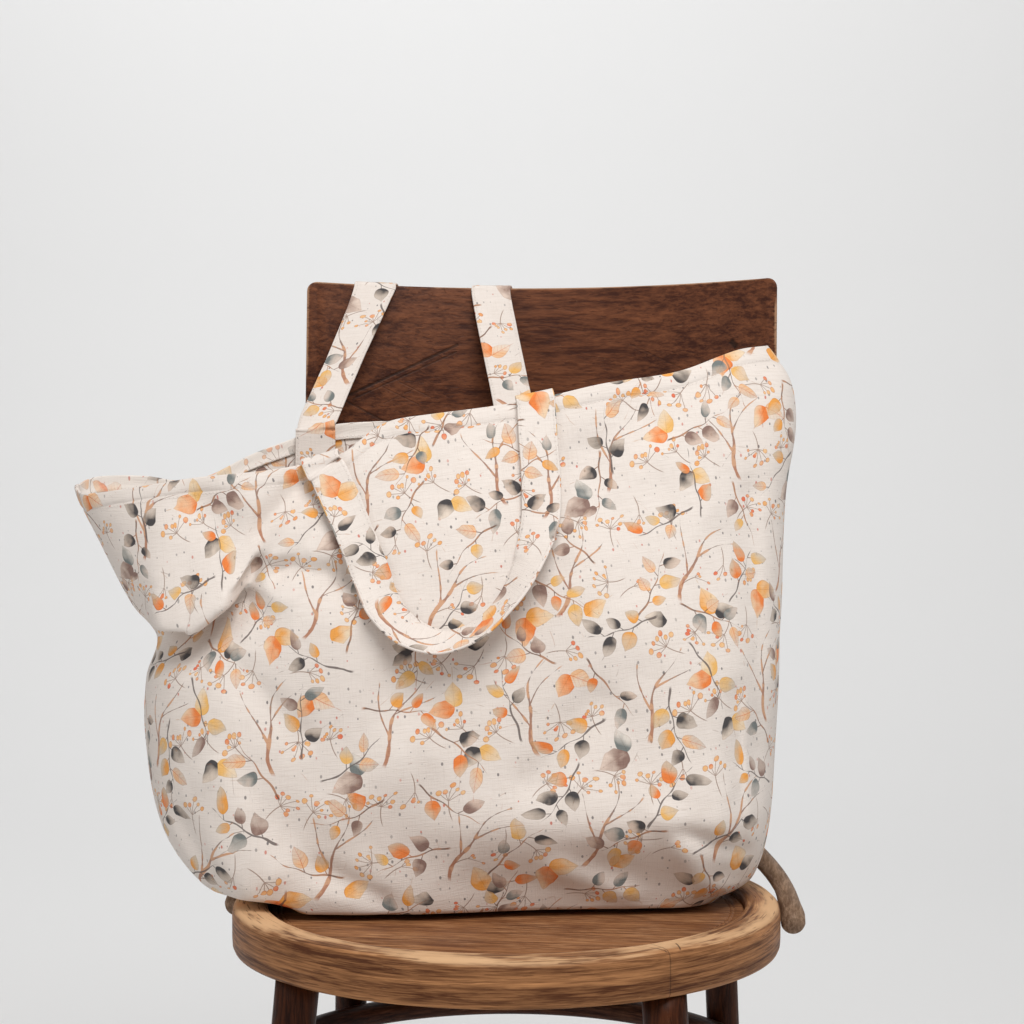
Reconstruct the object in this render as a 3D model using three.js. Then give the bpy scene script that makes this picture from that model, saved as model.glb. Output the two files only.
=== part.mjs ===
// A printed linen tote bag that stands on the seat of a bentwood chair, with its back handle slung over
// the backrest. Millimetres, +Z up, the floor at Z = 0. The chair faces -Y and is symmetric about X = 0
// until the last step, which puts the origin under the middle of the whole object.
// The bag is described in its own frame: x to its right, y away from its front, z up from the top of the
// seat hoop, about the middle of the seat. It stands turned a few degrees on the seat.
import * as THREE from "three";
import { mergeVertices } from "three/examples/jsm/utils/BufferGeometryUtils.js";

// Chair
const SEAT_HEIGHT = 450;
const SEAT_RADIUS = 202.5;
const HOOP_WIDTH = 26;
const HOOP_DEPTH = 29.5;
const LEDGE_WIDTH = 11;
const PANEL_DROP = 6.5;
const PANEL_THICKNESS = 8;
const GAP = 0.3;
const REST_TOP = 471;
const REST_HEIGHT = 190;
const REST_HALF_WIDTH = 194;
const REST_END_Y = 180;
const REST_BOW = 43;
const REST_DIP = 4.4;
const REST_RECLINE = 12;
const REST_THICKNESS = 10;
const REST_CORNER = 6;
const POST_TOP = 430;
const POST_RADIUS = 12;
const POST_SLANT = 0.93;
const BACK_LEG_RADIUS = 13;
const RING_DROP = 134;
const RING_RADIUS = 189.2;
const RING_Y = 20.8;
const RING_ROD = 9.5;
const BRACE_RADIUS = 9.5;

// Bag
const CLOTH = 2;
const SEAM_GAP = 0.6;
const BAG_TURN = (8 * Math.PI) / 180;
const EDGE_CLEARANCE = 2;
const BASE_SHARE = 0.14;
const END_RISE = 14;
const BASE_ROUND = 5;
const CROWN = 9;
const STRAP_WIDTH = 31;
const STRAP_THICKNESS = 2.4;
const SEWN_LENGTH = 34;
const RIM_CLEARANCE = 4;
const SEWN_SLACK = 1.1;
const SHOULDER_SLACK = 2;
const FOLD_END = 14;
const FOLD_FADE = 0.35;
const SETTLE_START = 26;
const SETTLE_END = 8;

// The bag's level sections, one row for each height: where the side seams are, how far the front and the
// back stand off the seams, and how long the rounded ends of the section are in front and behind.
const SECTIONS = [
  { z: 0, left: -203, right: 166, seam: 30, front: 80, back: 79, corner: 46, behind: 100 },
  { z: 12, left: -231, right: 185, seam: 31, front: 83, back: 79, corner: 56, behind: 120 },
  { z: 50, left: -260, right: 198, seam: 38, front: 88, back: 76, corner: 66, behind: 110 },
  { z: 115, left: -274, right: 204, seam: 47, front: 93, back: 74, corner: 78, behind: 100 },
  { z: 160, left: -274, right: 207, seam: 53, front: 93, back: 74, corner: 86, behind: 100 },
  { z: 190, left: -267, right: 208, seam: 58, front: 92, back: 74, corner: 96, behind: 104 },
  { z: 215, left: -287, right: 210, seam: 61, front: 89, back: 74, corner: 112, behind: 116 },
  { z: 260, left: -312, right: 212, seam: 67, front: 82, back: 74, corner: 140, behind: 140 },
  { z: 302, left: -333, right: 215, seam: 73, front: 74, back: 73, corner: 172, behind: 172 },
  { z: 351, left: -340, right: 223, seam: 79, front: 64, back: 71, corner: 196, behind: 196 },
  { z: 386, left: -344, right: 219, seam: 82, front: 56, back: 66, corner: 200, behind: 200 },
  { z: 412, left: -346, right: 202, seam: 84, front: 50, back: 60, corner: 200, behind: 200 },
];

// The height of the mouth along its front and along its back, from the left corner to the right one.
const FRONT_RIM = [
  { x: -333, z: 302 },
  { x: -285, z: 304 },
  { x: -231, z: 313 },
  { x: -164, z: 321 },
  { x: -123, z: 331 },
  { x: -93, z: 353 },
  { x: -59, z: 360 },
  { x: 10, z: 368 },
  { x: 68, z: 380 },
  { x: 128, z: 390 },
  { x: 177, z: 408 },
  { x: 202, z: 412 },
];
const BACK_RIM = [
  { x: -333, z: 302 },
  { x: -316, z: 312 },
  { x: -280, z: 311 },
  { x: -240, z: 316 },
  { x: -208, z: 329 },
  { x: -176, z: 341 },
  { x: -140, z: 352 },
  { x: -60, z: 354 },
  { x: 20, z: 357 },
  { x: 90, z: 371 },
  { x: 160, z: 398 },
  { x: 202, z: 412 },
];

// Main folds of the front, as creases from one point to another: how far each stands out (or in, where
// negative), how wide it is above and below the crease, and how far the cloth sags down over it.
const FOLDS = [
  { x: -268, z: 202, toX: -216, toZ: 207, out: 15, above: 30, below: 10, sag: 7 },
  { x: -216, z: 207, toX: -184, toZ: 238, out: 15, above: 26, below: 10, sag: 7 },
  { x: -268, z: 185, toX: -212, toZ: 190, out: -18, above: 9, below: 22, sag: 0 },
  { x: -212, z: 190, toX: -174, toZ: 232, out: -18, above: 9, below: 20, sag: 0 },
  { x: -186, z: 246, toX: -120, toZ: 241, out: -7, above: 14, below: 12, sag: 0 },
  { x: -148, z: 304, toX: -190, toZ: 250, out: -7, above: 16, below: 24, sag: 0 },
  { x: -150, z: 208, toX: -96, toZ: 196, out: 7, above: 26, below: 40, sag: 0 },
  { x: 186, z: 296, toX: 188, toZ: 40, out: -4, above: 12, below: 12, sag: 0 },
  { x: 120, z: 36, toX: 168, toZ: 10, out: -4, above: 12, below: 10, sag: 0 },
  { x: 60, z: 330, toX: 96, toZ: 236, out: -3, above: 26, below: 26, sag: 0 },
];

// The front handle hangs down over the front: where its middle line passes, how far it stands off the
// cloth, which way its width points in the plane of the front and how far it is twisted out of it.
const FRONT_LOOP = [
  { x: -132, z: 316, lift: 7, lean: 14, twist: 8 },
  { x: -122, z: 296, lift: 7, lean: 22, twist: 14 },
  { x: -109, z: 268, lift: 8, lean: 25, twist: 20 },
  { x: -99, z: 243, lift: 9, lean: 20, twist: 24 },
  { x: -91, z: 214, lift: 10, lean: 24, twist: 30 },
  { x: -76, z: 191, lift: 13, lean: 48, twist: 42 },
  { x: -50, z: 180, lift: 17, lean: 78, twist: 58 },
  { x: -23, z: 188, lift: 19, lean: 112, twist: 66 },
  { x: 0, z: 213, lift: 18, lean: 142, twist: 66 },
  { x: 16, z: 245, lift: 14, lean: 162, twist: 46 },
  { x: 24, z: 276, lift: 9, lean: 176, twist: 18 },
  { x: 25, z: 306, lift: 7, lean: 180, twist: 4 },
  { x: 23, z: 340, lift: 6, lean: 180, twist: 0 },
];
const FRONT_LEFT_X = -137;
const FRONT_RIGHT_X = 21;

// The back handle rises from inside the back of the mouth and goes over the backrest and down behind it.
const BACK_LEFT_X = -153;
const BACK_RIGHT_X = 6;
const OVER_LEFT_X = -139;
const OVER_RIGHT_X = -43;
const LOOP_DROP = 30;

const COLOURS = {
  linen: 0xeee6dd,
  seat: 0x9a6a42,
  rest: 0x54301f,
  leg: 0x3c281e,
};

function lookUp(table, key, at, column) {
  const last = table.length - 1;
  const t = THREE.MathUtils.clamp(at, table[0][key], table[last][key]);
  let i = 0;
  while (i < last - 1 && t > table[i + 1][key]) i++;
  const before = table[Math.max(i - 1, 0)];
  const after = table[Math.min(i + 2, last)];
  const a = table[i];
  const b = table[i + 1];
  const span = b[key] - a[key];
  const share = (t - a[key]) / span;
  const slopeA = ((b[column] - before[column]) / (b[key] - before[key])) * span;
  const slopeB = ((after[column] - a[column]) / (after[key] - a[key])) * span;
  const s2 = share * share;
  const s3 = s2 * share;
  return (
    a[column] * (2 * s3 - 3 * s2 + 1) +
    slopeA * (s3 - 2 * s2 + share) +
    b[column] * (3 * s2 - 2 * s3) +
    slopeB * (s3 - s2)
  );
}

function section(side, z) {
  const depth = lookUp(SECTIONS, "z", z, side < 0 ? "front" : "back");
  const corner = lookUp(SECTIONS, "z", z, side < 0 ? "corner" : "behind");
  const left = lookUp(SECTIONS, "z", z, "left");
  const right = lookUp(SECTIONS, "z", z, "right");
  return { depth, corner, left, right, seam: lookUp(SECTIONS, "z", z, "seam") };
}

// Where along the section a share of its length lies. The rounded ends are quarter ellipses.
function sectionX(row, share) {
  const arc = (Math.PI / 2) * Math.sqrt((row.corner ** 2 + row.depth ** 2) / 2);
  const flat = row.right - row.left - 2 * row.corner;
  const along = share * (2 * arc + flat);
  if (along < arc) return row.left + row.corner * (1 - Math.cos(((along / arc) * Math.PI) / 2));
  if (along < arc + flat) return row.left + row.corner + along - arc;
  const back = 2 * arc + flat - along;
  return row.right - row.corner * (1 - Math.cos(((back / arc) * Math.PI) / 2));
}

function foldAt(fold, x, z) {
  const dx = fold.toX - fold.x;
  const dz = fold.toZ - fold.z;
  const length = Math.hypot(dx, dz);
  const along = ((x - fold.x) * dx + (z - fold.z) * dz) / length;
  const across = ((z - fold.z) * dx - (x - fold.x) * dz) / length;
  const above = dx < 0 ? -across : across;
  const width = above > 0 ? fold.above : fold.below;
  const beyond = Math.max(0, -along, along - length);
  return Math.exp(-((above / width) ** 2) - (beyond / FOLD_END) ** 2);
}

// How far the front or the back stands off the seams at a place on it.
function standOff(side, x, z) {
  const row = section(side, z);
  const inset = Math.min(x - row.left, row.right - x) / row.corner;
  const bend = inset >= 1 ? 1 : Math.sqrt(Math.max(0, 1 - (1 - Math.max(0, inset)) ** 2));
  const across = THREE.MathUtils.clamp((x - row.left) / (row.right - row.left), 0, 1);
  let out = row.depth * bend + CROWN * Math.sin(Math.PI * across) ** 2;
  if (side < 0) {
    const fade = THREE.MathUtils.smoothstep(inset, 0, FOLD_FADE);
    const effects = FOLDS.map((fold) => fold.out * foldAt(fold, x, z) * fade);
    out += Math.max(0, ...effects) + Math.min(0, ...effects);
  }
  return out;
}

function surfaceY(side, x, z) {
  return section(side, z).seam + side * standOff(side, x, z);
}

// The height at which the cloth's middle lies on the seat: on the panel, or over the hoop around it.
function restHeight(x, y) {
  const inner = SEAT_RADIUS - HOOP_WIDTH;
  const onPanel = -PANEL_DROP + GAP + CLOTH / 2;
  const overHoop = EDGE_CLEARANCE + CLOTH / 2;
  const share = THREE.MathUtils.smoothstep(Math.hypot(x, y), inner - SETTLE_START, inner - SETTLE_END);
  return THREE.MathUtils.lerp(onPanel, overHoop, share);
}

// A place on a panel: across from the left seam to the right one, up from the seam under the base.
function panelPoint(side, across, up) {
  const rim = side < 0 ? FRONT_RIM : BACK_RIM;
  const share = Math.min(up / BASE_SHARE, 1);
  const rise = Math.max(0, (up - BASE_SHARE) / (1 - BASE_SHARE));
  const end = Math.abs(2 * across - 1) ** 14;
  const endRise = END_RISE * end * share;
  const foot = section(side, endRise);
  const footX = sectionX(foot, across);
  const footY = foot.seam + side * standOff(side, footX, endRise) * share;
  const start = restHeight(footX, footY) + endRise + BASE_ROUND * share ** 5;
  if (rise === 0) return new THREE.Vector3(footX, footY + (side * SEAM_GAP) / 2, start);
  let x = footX;
  let z = start;
  for (let pass = 0; pass < 12; pass++) {
    z = start + rise * (lookUp(rim, "x", x, "z") - start);
    x = sectionX(section(side, Math.max(z, endRise)), across);
  }
  const y = surfaceY(side, x, Math.max(z, endRise)) + (side * SEAM_GAP) / 2;
  const sag = side < 0 ? Math.max(...FOLDS.map((fold) => fold.sag * foldAt(fold, x, z))) : 0;
  return new THREE.Vector3(x, y, z - sag * THREE.MathUtils.smoothstep(across, 0, 0.05));
}

// The way out of the bag at a place on a panel. Along the seams it keeps to the plane of the seam.
function panelNormal(side, across, up) {
  const step = 0.004;
  const alongAcross = panelPoint(side, Math.min(across + step, 1), up);
  alongAcross.sub(panelPoint(side, Math.max(across - step, 0), up));
  const alongUp = panelPoint(side, across, Math.min(up + step, 1));
  alongUp.sub(panelPoint(side, across, Math.max(up - step, 0)));
  if (across === 0 || across === 1) {
    const outward = across === 0 ? -1 : 1;
    return new THREE.Vector3(outward * alongUp.z, 0, -outward * alongUp.x).normalize();
  }
  if (up === 0) return new THREE.Vector3(0, 0, -1);
  const normal = alongAcross.cross(alongUp);
  return normal.multiplyScalar(-side).normalize();
}

function toChair(point) {
  point.applyAxisAngle(new THREE.Vector3(0, 0, 1), BAG_TURN);
  point.z += SEAT_HEIGHT;
  return point;
}

function solid(name, geometry, colour, roughness) {
  geometry.deleteAttribute("normal");
  geometry.deleteAttribute("uv");
  const merged = mergeVertices(geometry, 1e-3);
  merged.computeVertexNormals();
  const material = new THREE.MeshStandardMaterial({ color: colour, roughness, metalness: 0 });
  const mesh = new THREE.Mesh(merged, material);
  mesh.name = name;
  return mesh;
}

function reshape(geometry, place) {
  const position = geometry.attributes.position;
  const vertex = new THREE.Vector3();
  for (let i = 0; i < position.count; i++) {
    vertex.fromBufferAttribute(position, i);
    const moved = place(vertex);
    position.setXYZ(i, moved.x, moved.y, moved.z);
  }
  return geometry;
}

function panel(name, side, columns, rows) {
  const sheet = new THREE.BoxGeometry(1, 1, 1, columns, rows, 1);
  reshape(sheet, (vertex) => {
    const across = side < 0 ? vertex.x + 0.5 : 0.5 - vertex.x;
    const up = vertex.y + 0.5;
    const point = panelPoint(side, across, up);
    return toChair(point.addScaledVector(panelNormal(side, across, up), vertex.z * CLOTH));
  });
  return solid(name, sheet, COLOURS.linen, 0.9);
}

// A flat strap along stations that give its middle line and the way its width points.
function strap(name, stations, steps) {
  const middle = new THREE.CatmullRomCurve3(
    stations.map((station) => station.at),
    false,
    "centripetal",
  );
  const last = stations.length - 1;
  const sheet = new THREE.BoxGeometry(STRAP_WIDTH, STRAP_THICKNESS, 1, 2, 1, steps);
  reshape(sheet, (vertex) => {
    const share = vertex.z + 0.5;
    const i = Math.min(Math.floor(share * last), last - 1);
    const local = share * last - i;
    const at = middle.getPoint(share);
    const forward = middle.getTangent(THREE.MathUtils.clamp(share, 0.0005, 0.9995));
    const width = stations[i].width.clone().lerp(stations[i + 1].width, local);
    width.addScaledVector(forward, -width.dot(forward)).normalize();
    const face = new THREE.Vector3().crossVectors(forward, width);
    at.addScaledVector(width, vertex.x).addScaledVector(face, vertex.y);
    return toChair(at);
  });
  return solid(name, sheet, COLOURS.linen, 0.9);
}

// The way a strap's width points, laid on the slope of what is under it and then twisted off it.
function widthFrom(lean, twist, slope) {
  const a = THREE.MathUtils.degToRad(lean);
  const b = THREE.MathUtils.degToRad(twist);
  const width = new THREE.Vector3(Math.cos(a), slope, Math.sin(a)).normalize();
  return width.multiplyScalar(Math.cos(b)).add(new THREE.Vector3(0, Math.sin(b), 0));
}

function surfaceSlope(side, x, z, lean) {
  const step = STRAP_WIDTH / 3;
  const dx = step * Math.cos(THREE.MathUtils.degToRad(lean));
  const dz = step * Math.sin(THREE.MathUtils.degToRad(lean));
  return (surfaceY(side, x + dx, z + dz) - surfaceY(side, x - dx, z - dz)) / (2 * step);
}

// The stations of a sewn end, from its tip inside the mouth to just over the rim. Its width keeps to the
// slope of the rim.
function sewnEnd(side, x, widthSign) {
  const rim = lookUp(side < 0 ? FRONT_RIM : BACK_RIM, "x", x, "z");
  const inside = -side * (CLOTH / 2 + GAP + STRAP_THICKNESS / 2 + SEWN_SLACK);
  const stations = [-SEWN_LENGTH, -SEWN_LENGTH * 0.66, -SEWN_LENGTH * 0.33, -1].map((height) => {
    const z = rim + height;
    const width = widthFrom(rimLean(side, x), 0, surfaceSlope(side, x, z, rimLean(side, x)));
    width.multiplyScalar(widthSign);
    return { at: new THREE.Vector3(x, surfaceY(side, x, z) + inside, z), width };
  });
  const width = stations[3].width;
  const top = new THREE.Vector3(x, surfaceY(side, x, rim), rim + STRAP_THICKNESS / 2 + RIM_CLEARANCE);
  stations.push({ at: top, width });
  return stations;
}

function rimLean(side, x) {
  const rim = side < 0 ? FRONT_RIM : BACK_RIM;
  const step = STRAP_WIDTH / 2;
  const rise = lookUp(rim, "x", x + step, "z") - lookUp(rim, "x", x - step, "z");
  return THREE.MathUtils.radToDeg(Math.atan2(rise, 2 * step));
}

function frontHandle() {
  const loop = FRONT_LOOP.map((row) => ({
    at: new THREE.Vector3(row.x, surfaceY(-1, row.x, row.z) - row.lift, row.z),
    width: widthFrom(row.lean, row.twist, surfaceSlope(-1, row.x, row.z, row.lean)),
  }));
  const outside = -(CLOTH / 2 + GAP + STRAP_THICKNESS / 2 + SHOULDER_SLACK);
  const shoulders = [FRONT_LEFT_X, FRONT_RIGHT_X].map((x) => {
    const z = lookUp(FRONT_RIM, "x", x, "z") - 4;
    return new THREE.Vector3(x, surfaceY(-1, x, z) + outside, z);
  });
  const left = sewnEnd(-1, FRONT_LEFT_X, 1);
  const right = sewnEnd(-1, FRONT_RIGHT_X, -1).reverse();
  const stations = [
    ...left,
    { at: shoulders[0], width: left[left.length - 1].width },
    ...loop,
    { at: shoulders[1], width: right[0].width },
    ...right,
  ];
  return strap("handle_front", stations, 72);
}

function restY(x) {
  return REST_END_Y + REST_BOW * (1 - (x / REST_HALF_WIDTH) ** 2);
}

function restTop(x) {
  return REST_TOP - REST_DIP * (1 - (x / REST_HALF_WIDTH) ** 2);
}

// A place over the backrest, given in the chair's frame, in the bag's.
function fromChair(x, y, z) {
  return new THREE.Vector3(x, y, z).applyAxisAngle(new THREE.Vector3(0, 0, 1), -BAG_TURN);
}

function overBackrest(x, widthSign) {
  const off = EDGE_CLEARANCE + STRAP_THICKNESS / 2;
  const step = STRAP_WIDTH / 2;
  const along = restY(x + step) - restY(x - step);
  const rise = restTop(x + step) - restTop(x - step);
  const width = fromChair(2 * step, along, rise).normalize().multiplyScalar(widthSign);
  const rows = [
    { y: -off - 2.8, z: -1 },
    { y: REST_THICKNESS / 2, z: off + 3.8 },
    { y: REST_THICKNESS + off + 2.8, z: -1 },
  ];
  return rows.map((row) => ({ at: fromChair(x, restY(x) + row.y, restTop(x) + row.z), width }));
}

function backHandle() {
  const off = REST_THICKNESS + EDGE_CLEARANCE + STRAP_THICKNESS / 2;
  const middle = (OVER_LEFT_X + OVER_RIGHT_X) / 2;
  const reach = (OVER_RIGHT_X - OVER_LEFT_X) / 2;
  const behind = [
    { share: -0.94, drop: 0.45, lean: 14 },
    { share: -0.62, drop: 0.88, lean: 52 },
    { share: 0, drop: 1.1, lean: 90 },
    { share: 0.62, drop: 0.88, lean: 128 },
    { share: 0.94, drop: 0.45, lean: 166 },
  ].map((row) => {
    const x = middle + row.share * reach;
    const slope = (restY(x + 1) - restY(x)) * Math.cos(THREE.MathUtils.degToRad(row.lean));
    const width = widthFrom(row.lean, 0, slope);
    return {
      at: fromChair(x, restY(x) + off + 3.4, restTop(x) - row.drop * LOOP_DROP),
      width: fromChair(width.x, width.y, width.z),
    };
  });
  const stations = [
    ...sewnEnd(1, BACK_LEFT_X, 1),
    ...overBackrest(OVER_LEFT_X, 1),
    ...behind,
    ...overBackrest(OVER_RIGHT_X, -1).reverse(),
    ...sewnEnd(1, BACK_RIGHT_X, -1).reverse(),
  ];
  return strap("handle_back", stations, 76);
}

// A round body along stations with a radius each. Level sections keep its ends flat on what they meet.
function rod(name, stations, sides, steps, colour, level) {
  const middle = new THREE.CatmullRomCurve3(
    stations.map((station) => new THREE.Vector3(station.x, station.y, station.z)),
    false,
    "centripetal",
  );
  const last = stations.length - 1;
  const body = new THREE.CylinderGeometry(1, 1, 1, sides, steps);
  reshape(body, (vertex) => {
    const share = THREE.MathUtils.clamp(vertex.y + 0.5, 0, 1);
    const i = Math.min(Math.floor(share * last), last - 1);
    const local = share * last - i;
    const radius = THREE.MathUtils.lerp(stations[i].radius, stations[i + 1].radius, local);
    const at = middle.getPoint(share);
    if (level) return new THREE.Vector3(at.x + vertex.x * radius, at.y - vertex.z * radius, at.z);
    const forward = middle.getTangent(share);
    const sideways = new THREE.Vector3().crossVectors(forward, new THREE.Vector3(0, 0, 1)).normalize();
    const downward = new THREE.Vector3().crossVectors(sideways, forward);
    at.addScaledVector(sideways, vertex.x * radius);
    return at.addScaledVector(downward, vertex.z * radius);
  });
  body.translate(0, 0, SEAT_HEIGHT);
  return solid(name, body, colour, 0.55);
}

function turned(name, profile, colour, segments) {
  const points = profile.map(([radius, z]) => new THREE.Vector2(radius, z));
  const ring = new THREE.LatheGeometry(points, segments);
  ring.rotateX(Math.PI / 2);
  ring.translate(0, 0, SEAT_HEIGHT);
  return solid(name, ring, colour, 0.5);
}

function seatHoop() {
  const inner = SEAT_RADIUS - HOOP_WIDTH;
  const ledge = inner - LEDGE_WIDTH;
  const ledgeTop = -PANEL_DROP - PANEL_THICKNESS - GAP;
  const round = 3;
  return turned(
    "seat_hoop",
    [
      [ledge, -HOOP_DEPTH],
      [SEAT_RADIUS - round, -HOOP_DEPTH],
      [SEAT_RADIUS, -HOOP_DEPTH + round],
      [SEAT_RADIUS, -round],
      [SEAT_RADIUS - round, 0],
      [inner + 2, 0],
      [inner, -2],
      [inner, ledgeTop],
      [ledge, ledgeTop],
      [ledge, -HOOP_DEPTH],
    ],
    COLOURS.seat,
    72,
  );
}

function seatPanel() {
  const edge = SEAT_RADIUS - HOOP_WIDTH - GAP;
  const bottom = -PANEL_DROP - PANEL_THICKNESS;
  return turned(
    "seat_panel",
    [
      [0, bottom],
      [edge, bottom],
      [edge, -PANEL_DROP - 1],
      [edge - 1, -PANEL_DROP],
      [0, -PANEL_DROP],
    ],
    COLOURS.seat,
    72,
  );
}

function backRest() {
  const columns = 26;
  const board = new THREE.BoxGeometry(columns, 1, 1, columns, 3, 1);
  const flatHalf = REST_HALF_WIDTH - REST_CORNER;
  reshape(board, (vertex) => {
    const end = Math.abs(vertex.x) === columns / 2;
    const x = end ? Math.sign(vertex.x) * REST_HALF_WIDTH : (vertex.x / (columns / 2 - 1)) * flatHalf;
    const cut = end ? REST_CORNER : 0;
    const down = 0.5 - vertex.y;
    const z = restTop(x) - cut - down * (REST_HEIGHT - 2 * cut);
    const lean = (REST_RECLINE * (REST_TOP - z)) / REST_HEIGHT;
    return new THREE.Vector3(x, restY(x) - lean + (0.5 - vertex.z) * REST_THICKNESS, z + SEAT_HEIGHT);
  });
  return solid("back_rest", board, COLOURS.rest, 0.5);
}

function frontLeg(name, hand) {
  const stations = [
    { x: hand * 158, y: -168, z: -SEAT_HEIGHT, radius: 11.5 },
    { x: hand * 143, y: -152, z: -240, radius: 14 },
    { x: hand * 128, y: -136, z: -HOOP_DEPTH - GAP, radius: 15.5 },
  ];
  return rod(name, stations, 14, 4, COLOURS.leg, true);
}

function backLeg(name, hand) {
  const behind = (x, z) => {
    const lean = (REST_RECLINE * (REST_TOP - z)) / REST_HEIGHT;
    return restY(x) - lean + REST_THICKNESS + (POST_RADIUS + GAP) / POST_SLANT;
  };
  const lowX = 160.5;
  const highX = 162;
  const lowZ = REST_TOP - REST_HEIGHT;
  const highZ = POST_TOP;
  const stations = [
    { x: hand * 168, y: 206, z: -SEAT_HEIGHT, radius: 11.5 },
    { x: hand * 160, y: 184, z: -290, radius: BACK_LEG_RADIUS },
    { x: hand * 154, y: 165.8, z: -RING_DROP, radius: BACK_LEG_RADIUS },
    { x: hand * 150.5, y: 153.9, z: -HOOP_DEPTH / 2, radius: BACK_LEG_RADIUS },
    { x: hand * 153, y: 162, z: 70, radius: BACK_LEG_RADIUS },
    { x: hand * 157, y: 184, z: 180, radius: POST_RADIUS },
    { x: hand * lowX, y: behind(lowX, lowZ), z: lowZ, radius: POST_RADIUS },
    { x: hand * highX, y: behind(highX, highZ), z: highZ, radius: POST_RADIUS },
  ];
  return rod(name, stations, 12, 22, COLOURS.leg, true);
}

function ringStretcher() {
  const ring = new THREE.TorusGeometry(RING_RADIUS, RING_ROD, 8, 52);
  ring.translate(0, RING_Y, SEAT_HEIGHT - RING_DROP);
  return solid("ring_stretcher", ring, COLOURS.leg, 0.55);
}

function brace(name, hand) {
  const stations = [
    { x: hand * 212.2, y: 13, z: -19, radius: 5.5 },
    { x: hand * 211.6, y: 17, z: -17, radius: 9 },
    { x: hand * 210.9, y: 23, z: -13, radius: BRACE_RADIUS },
    { x: hand * 203.4, y: 60, z: 1, radius: BRACE_RADIUS },
    { x: hand * 187, y: 102, z: 13, radius: BRACE_RADIUS },
    { x: hand * 161.3, y: 143.8, z: 24.9, radius: BRACE_RADIUS },
  ];
  return rod(name, stations, 10, 20, COLOURS.leg, false);
}

const parts = [
  panel("bag_front", -1, 40, 38),
  panel("bag_back", 1, 34, 24),
  frontHandle(),
  backHandle(),
  seatHoop(),
  seatPanel(),
  backRest(),
  frontLeg("front_leg_left", -1),
  frontLeg("front_leg_right", 1),
  backLeg("back_leg_left", -1),
  backLeg("back_leg_right", 1),
  ringStretcher(),
  brace("brace_left", -1),
  brace("brace_right", 1),
];

const bounds = new THREE.Box3();
for (const part of parts) {
  part.geometry.computeBoundingBox();
  bounds.union(part.geometry.boundingBox);
}
const middle = bounds.getCenter(new THREE.Vector3());
const object = new THREE.Group();
object.name = "tote_bag_on_chair";
for (const part of parts) {
  part.geometry.translate(-middle.x, -middle.y, -bounds.min.z);
  object.add(part);
}

export default object;
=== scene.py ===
# A printed linen tote bag that stands slumped on the seat of an old bentwood chair, with its back handle
# slung over the backrest. Metres, +Z up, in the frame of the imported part. The pieces follow in the order
# in which the object goes together: the chair from its seat outwards, and then the bag.
import math

import bmesh
import bpy
import numpy as np
from mathutils import Matrix, Quaternion, Vector


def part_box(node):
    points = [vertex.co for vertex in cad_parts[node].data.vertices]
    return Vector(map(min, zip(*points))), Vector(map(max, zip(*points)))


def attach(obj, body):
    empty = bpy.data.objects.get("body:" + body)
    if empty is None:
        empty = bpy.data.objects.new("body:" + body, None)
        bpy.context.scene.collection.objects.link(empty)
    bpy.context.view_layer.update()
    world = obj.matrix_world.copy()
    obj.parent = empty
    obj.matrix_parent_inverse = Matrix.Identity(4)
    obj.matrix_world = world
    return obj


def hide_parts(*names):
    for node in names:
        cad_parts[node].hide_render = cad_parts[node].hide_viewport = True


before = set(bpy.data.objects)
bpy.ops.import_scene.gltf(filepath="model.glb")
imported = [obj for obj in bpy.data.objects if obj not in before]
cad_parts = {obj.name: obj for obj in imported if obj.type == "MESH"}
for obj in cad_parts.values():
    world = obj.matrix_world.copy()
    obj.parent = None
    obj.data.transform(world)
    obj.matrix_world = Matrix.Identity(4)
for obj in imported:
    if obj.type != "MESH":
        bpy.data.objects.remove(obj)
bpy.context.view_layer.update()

# Seat panel: a round plywood disc, let into the hoop and resting on its ledge, with old worn varnish.
# Its grain runs from side to side. The middle of the seat, level with the hoop's top, gives the place
# of everything else.
PANEL_TOP = -6.5
MM = 0.001
low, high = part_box("seat_panel")
SEAT = Vector(((low.x + high.x) / 2, (low.y + high.y) / 2, high.z - PANEL_TOP * MM))


def new_piece(name, mesh, material, cad_node):
    """Links a finished mesh as a piece that stands for a CAD node."""
    data = bpy.data.meshes.new(name)
    mesh.to_mesh(data)
    mesh.free()
    piece = bpy.data.objects.new(name, data)
    bpy.context.scene.collection.objects.link(piece)
    piece.data.materials.append(material)
    for face in piece.data.polygons:
        face.use_smooth = True
    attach(piece, "root")
    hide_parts(cad_node)
    return piece


class Value:
    """What a node puts out. Sums on it are written as on plain numbers, and each makes a math node."""

    def __init__(self, tree, end):
        self.tree = tree
        self.end = end

    def __add__(self, other):
        return other + self if isinstance(other, Product) else calc("ADD", self, other)

    def __sub__(self, other):
        return calc("SUBTRACT", self, other)

    def __rsub__(self, other):
        return calc("SUBTRACT", other, self)

    def __mul__(self, other):
        return Product(self, other)

    def __truediv__(self, other):
        return calc("DIVIDE", self, other)

    def __abs__(self):
        return calc("ABSOLUTE", self)

    def __lt__(self, other):
        return calc("LESS_THAN", self, other)

    def __gt__(self, other):
        return calc("GREATER_THAN", self, other)


class Product(Value):
    """A product. It waits for a term to be added, so that both make one node."""

    def __init__(self, first, second):
        self.tree = first.tree
        self.pair = (first, second)
        self.made = None

    @property
    def end(self):
        if self.made is None:
            self.made = calc("MULTIPLY", *self.pair)
        return self.made.end

    def __add__(self, other):
        return calc("MULTIPLY_ADD", *self.pair, other)

    def __sub__(self, other):
        return calc("SUBTRACT", self, other) if isinstance(other, Value) else self + -other


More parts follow.
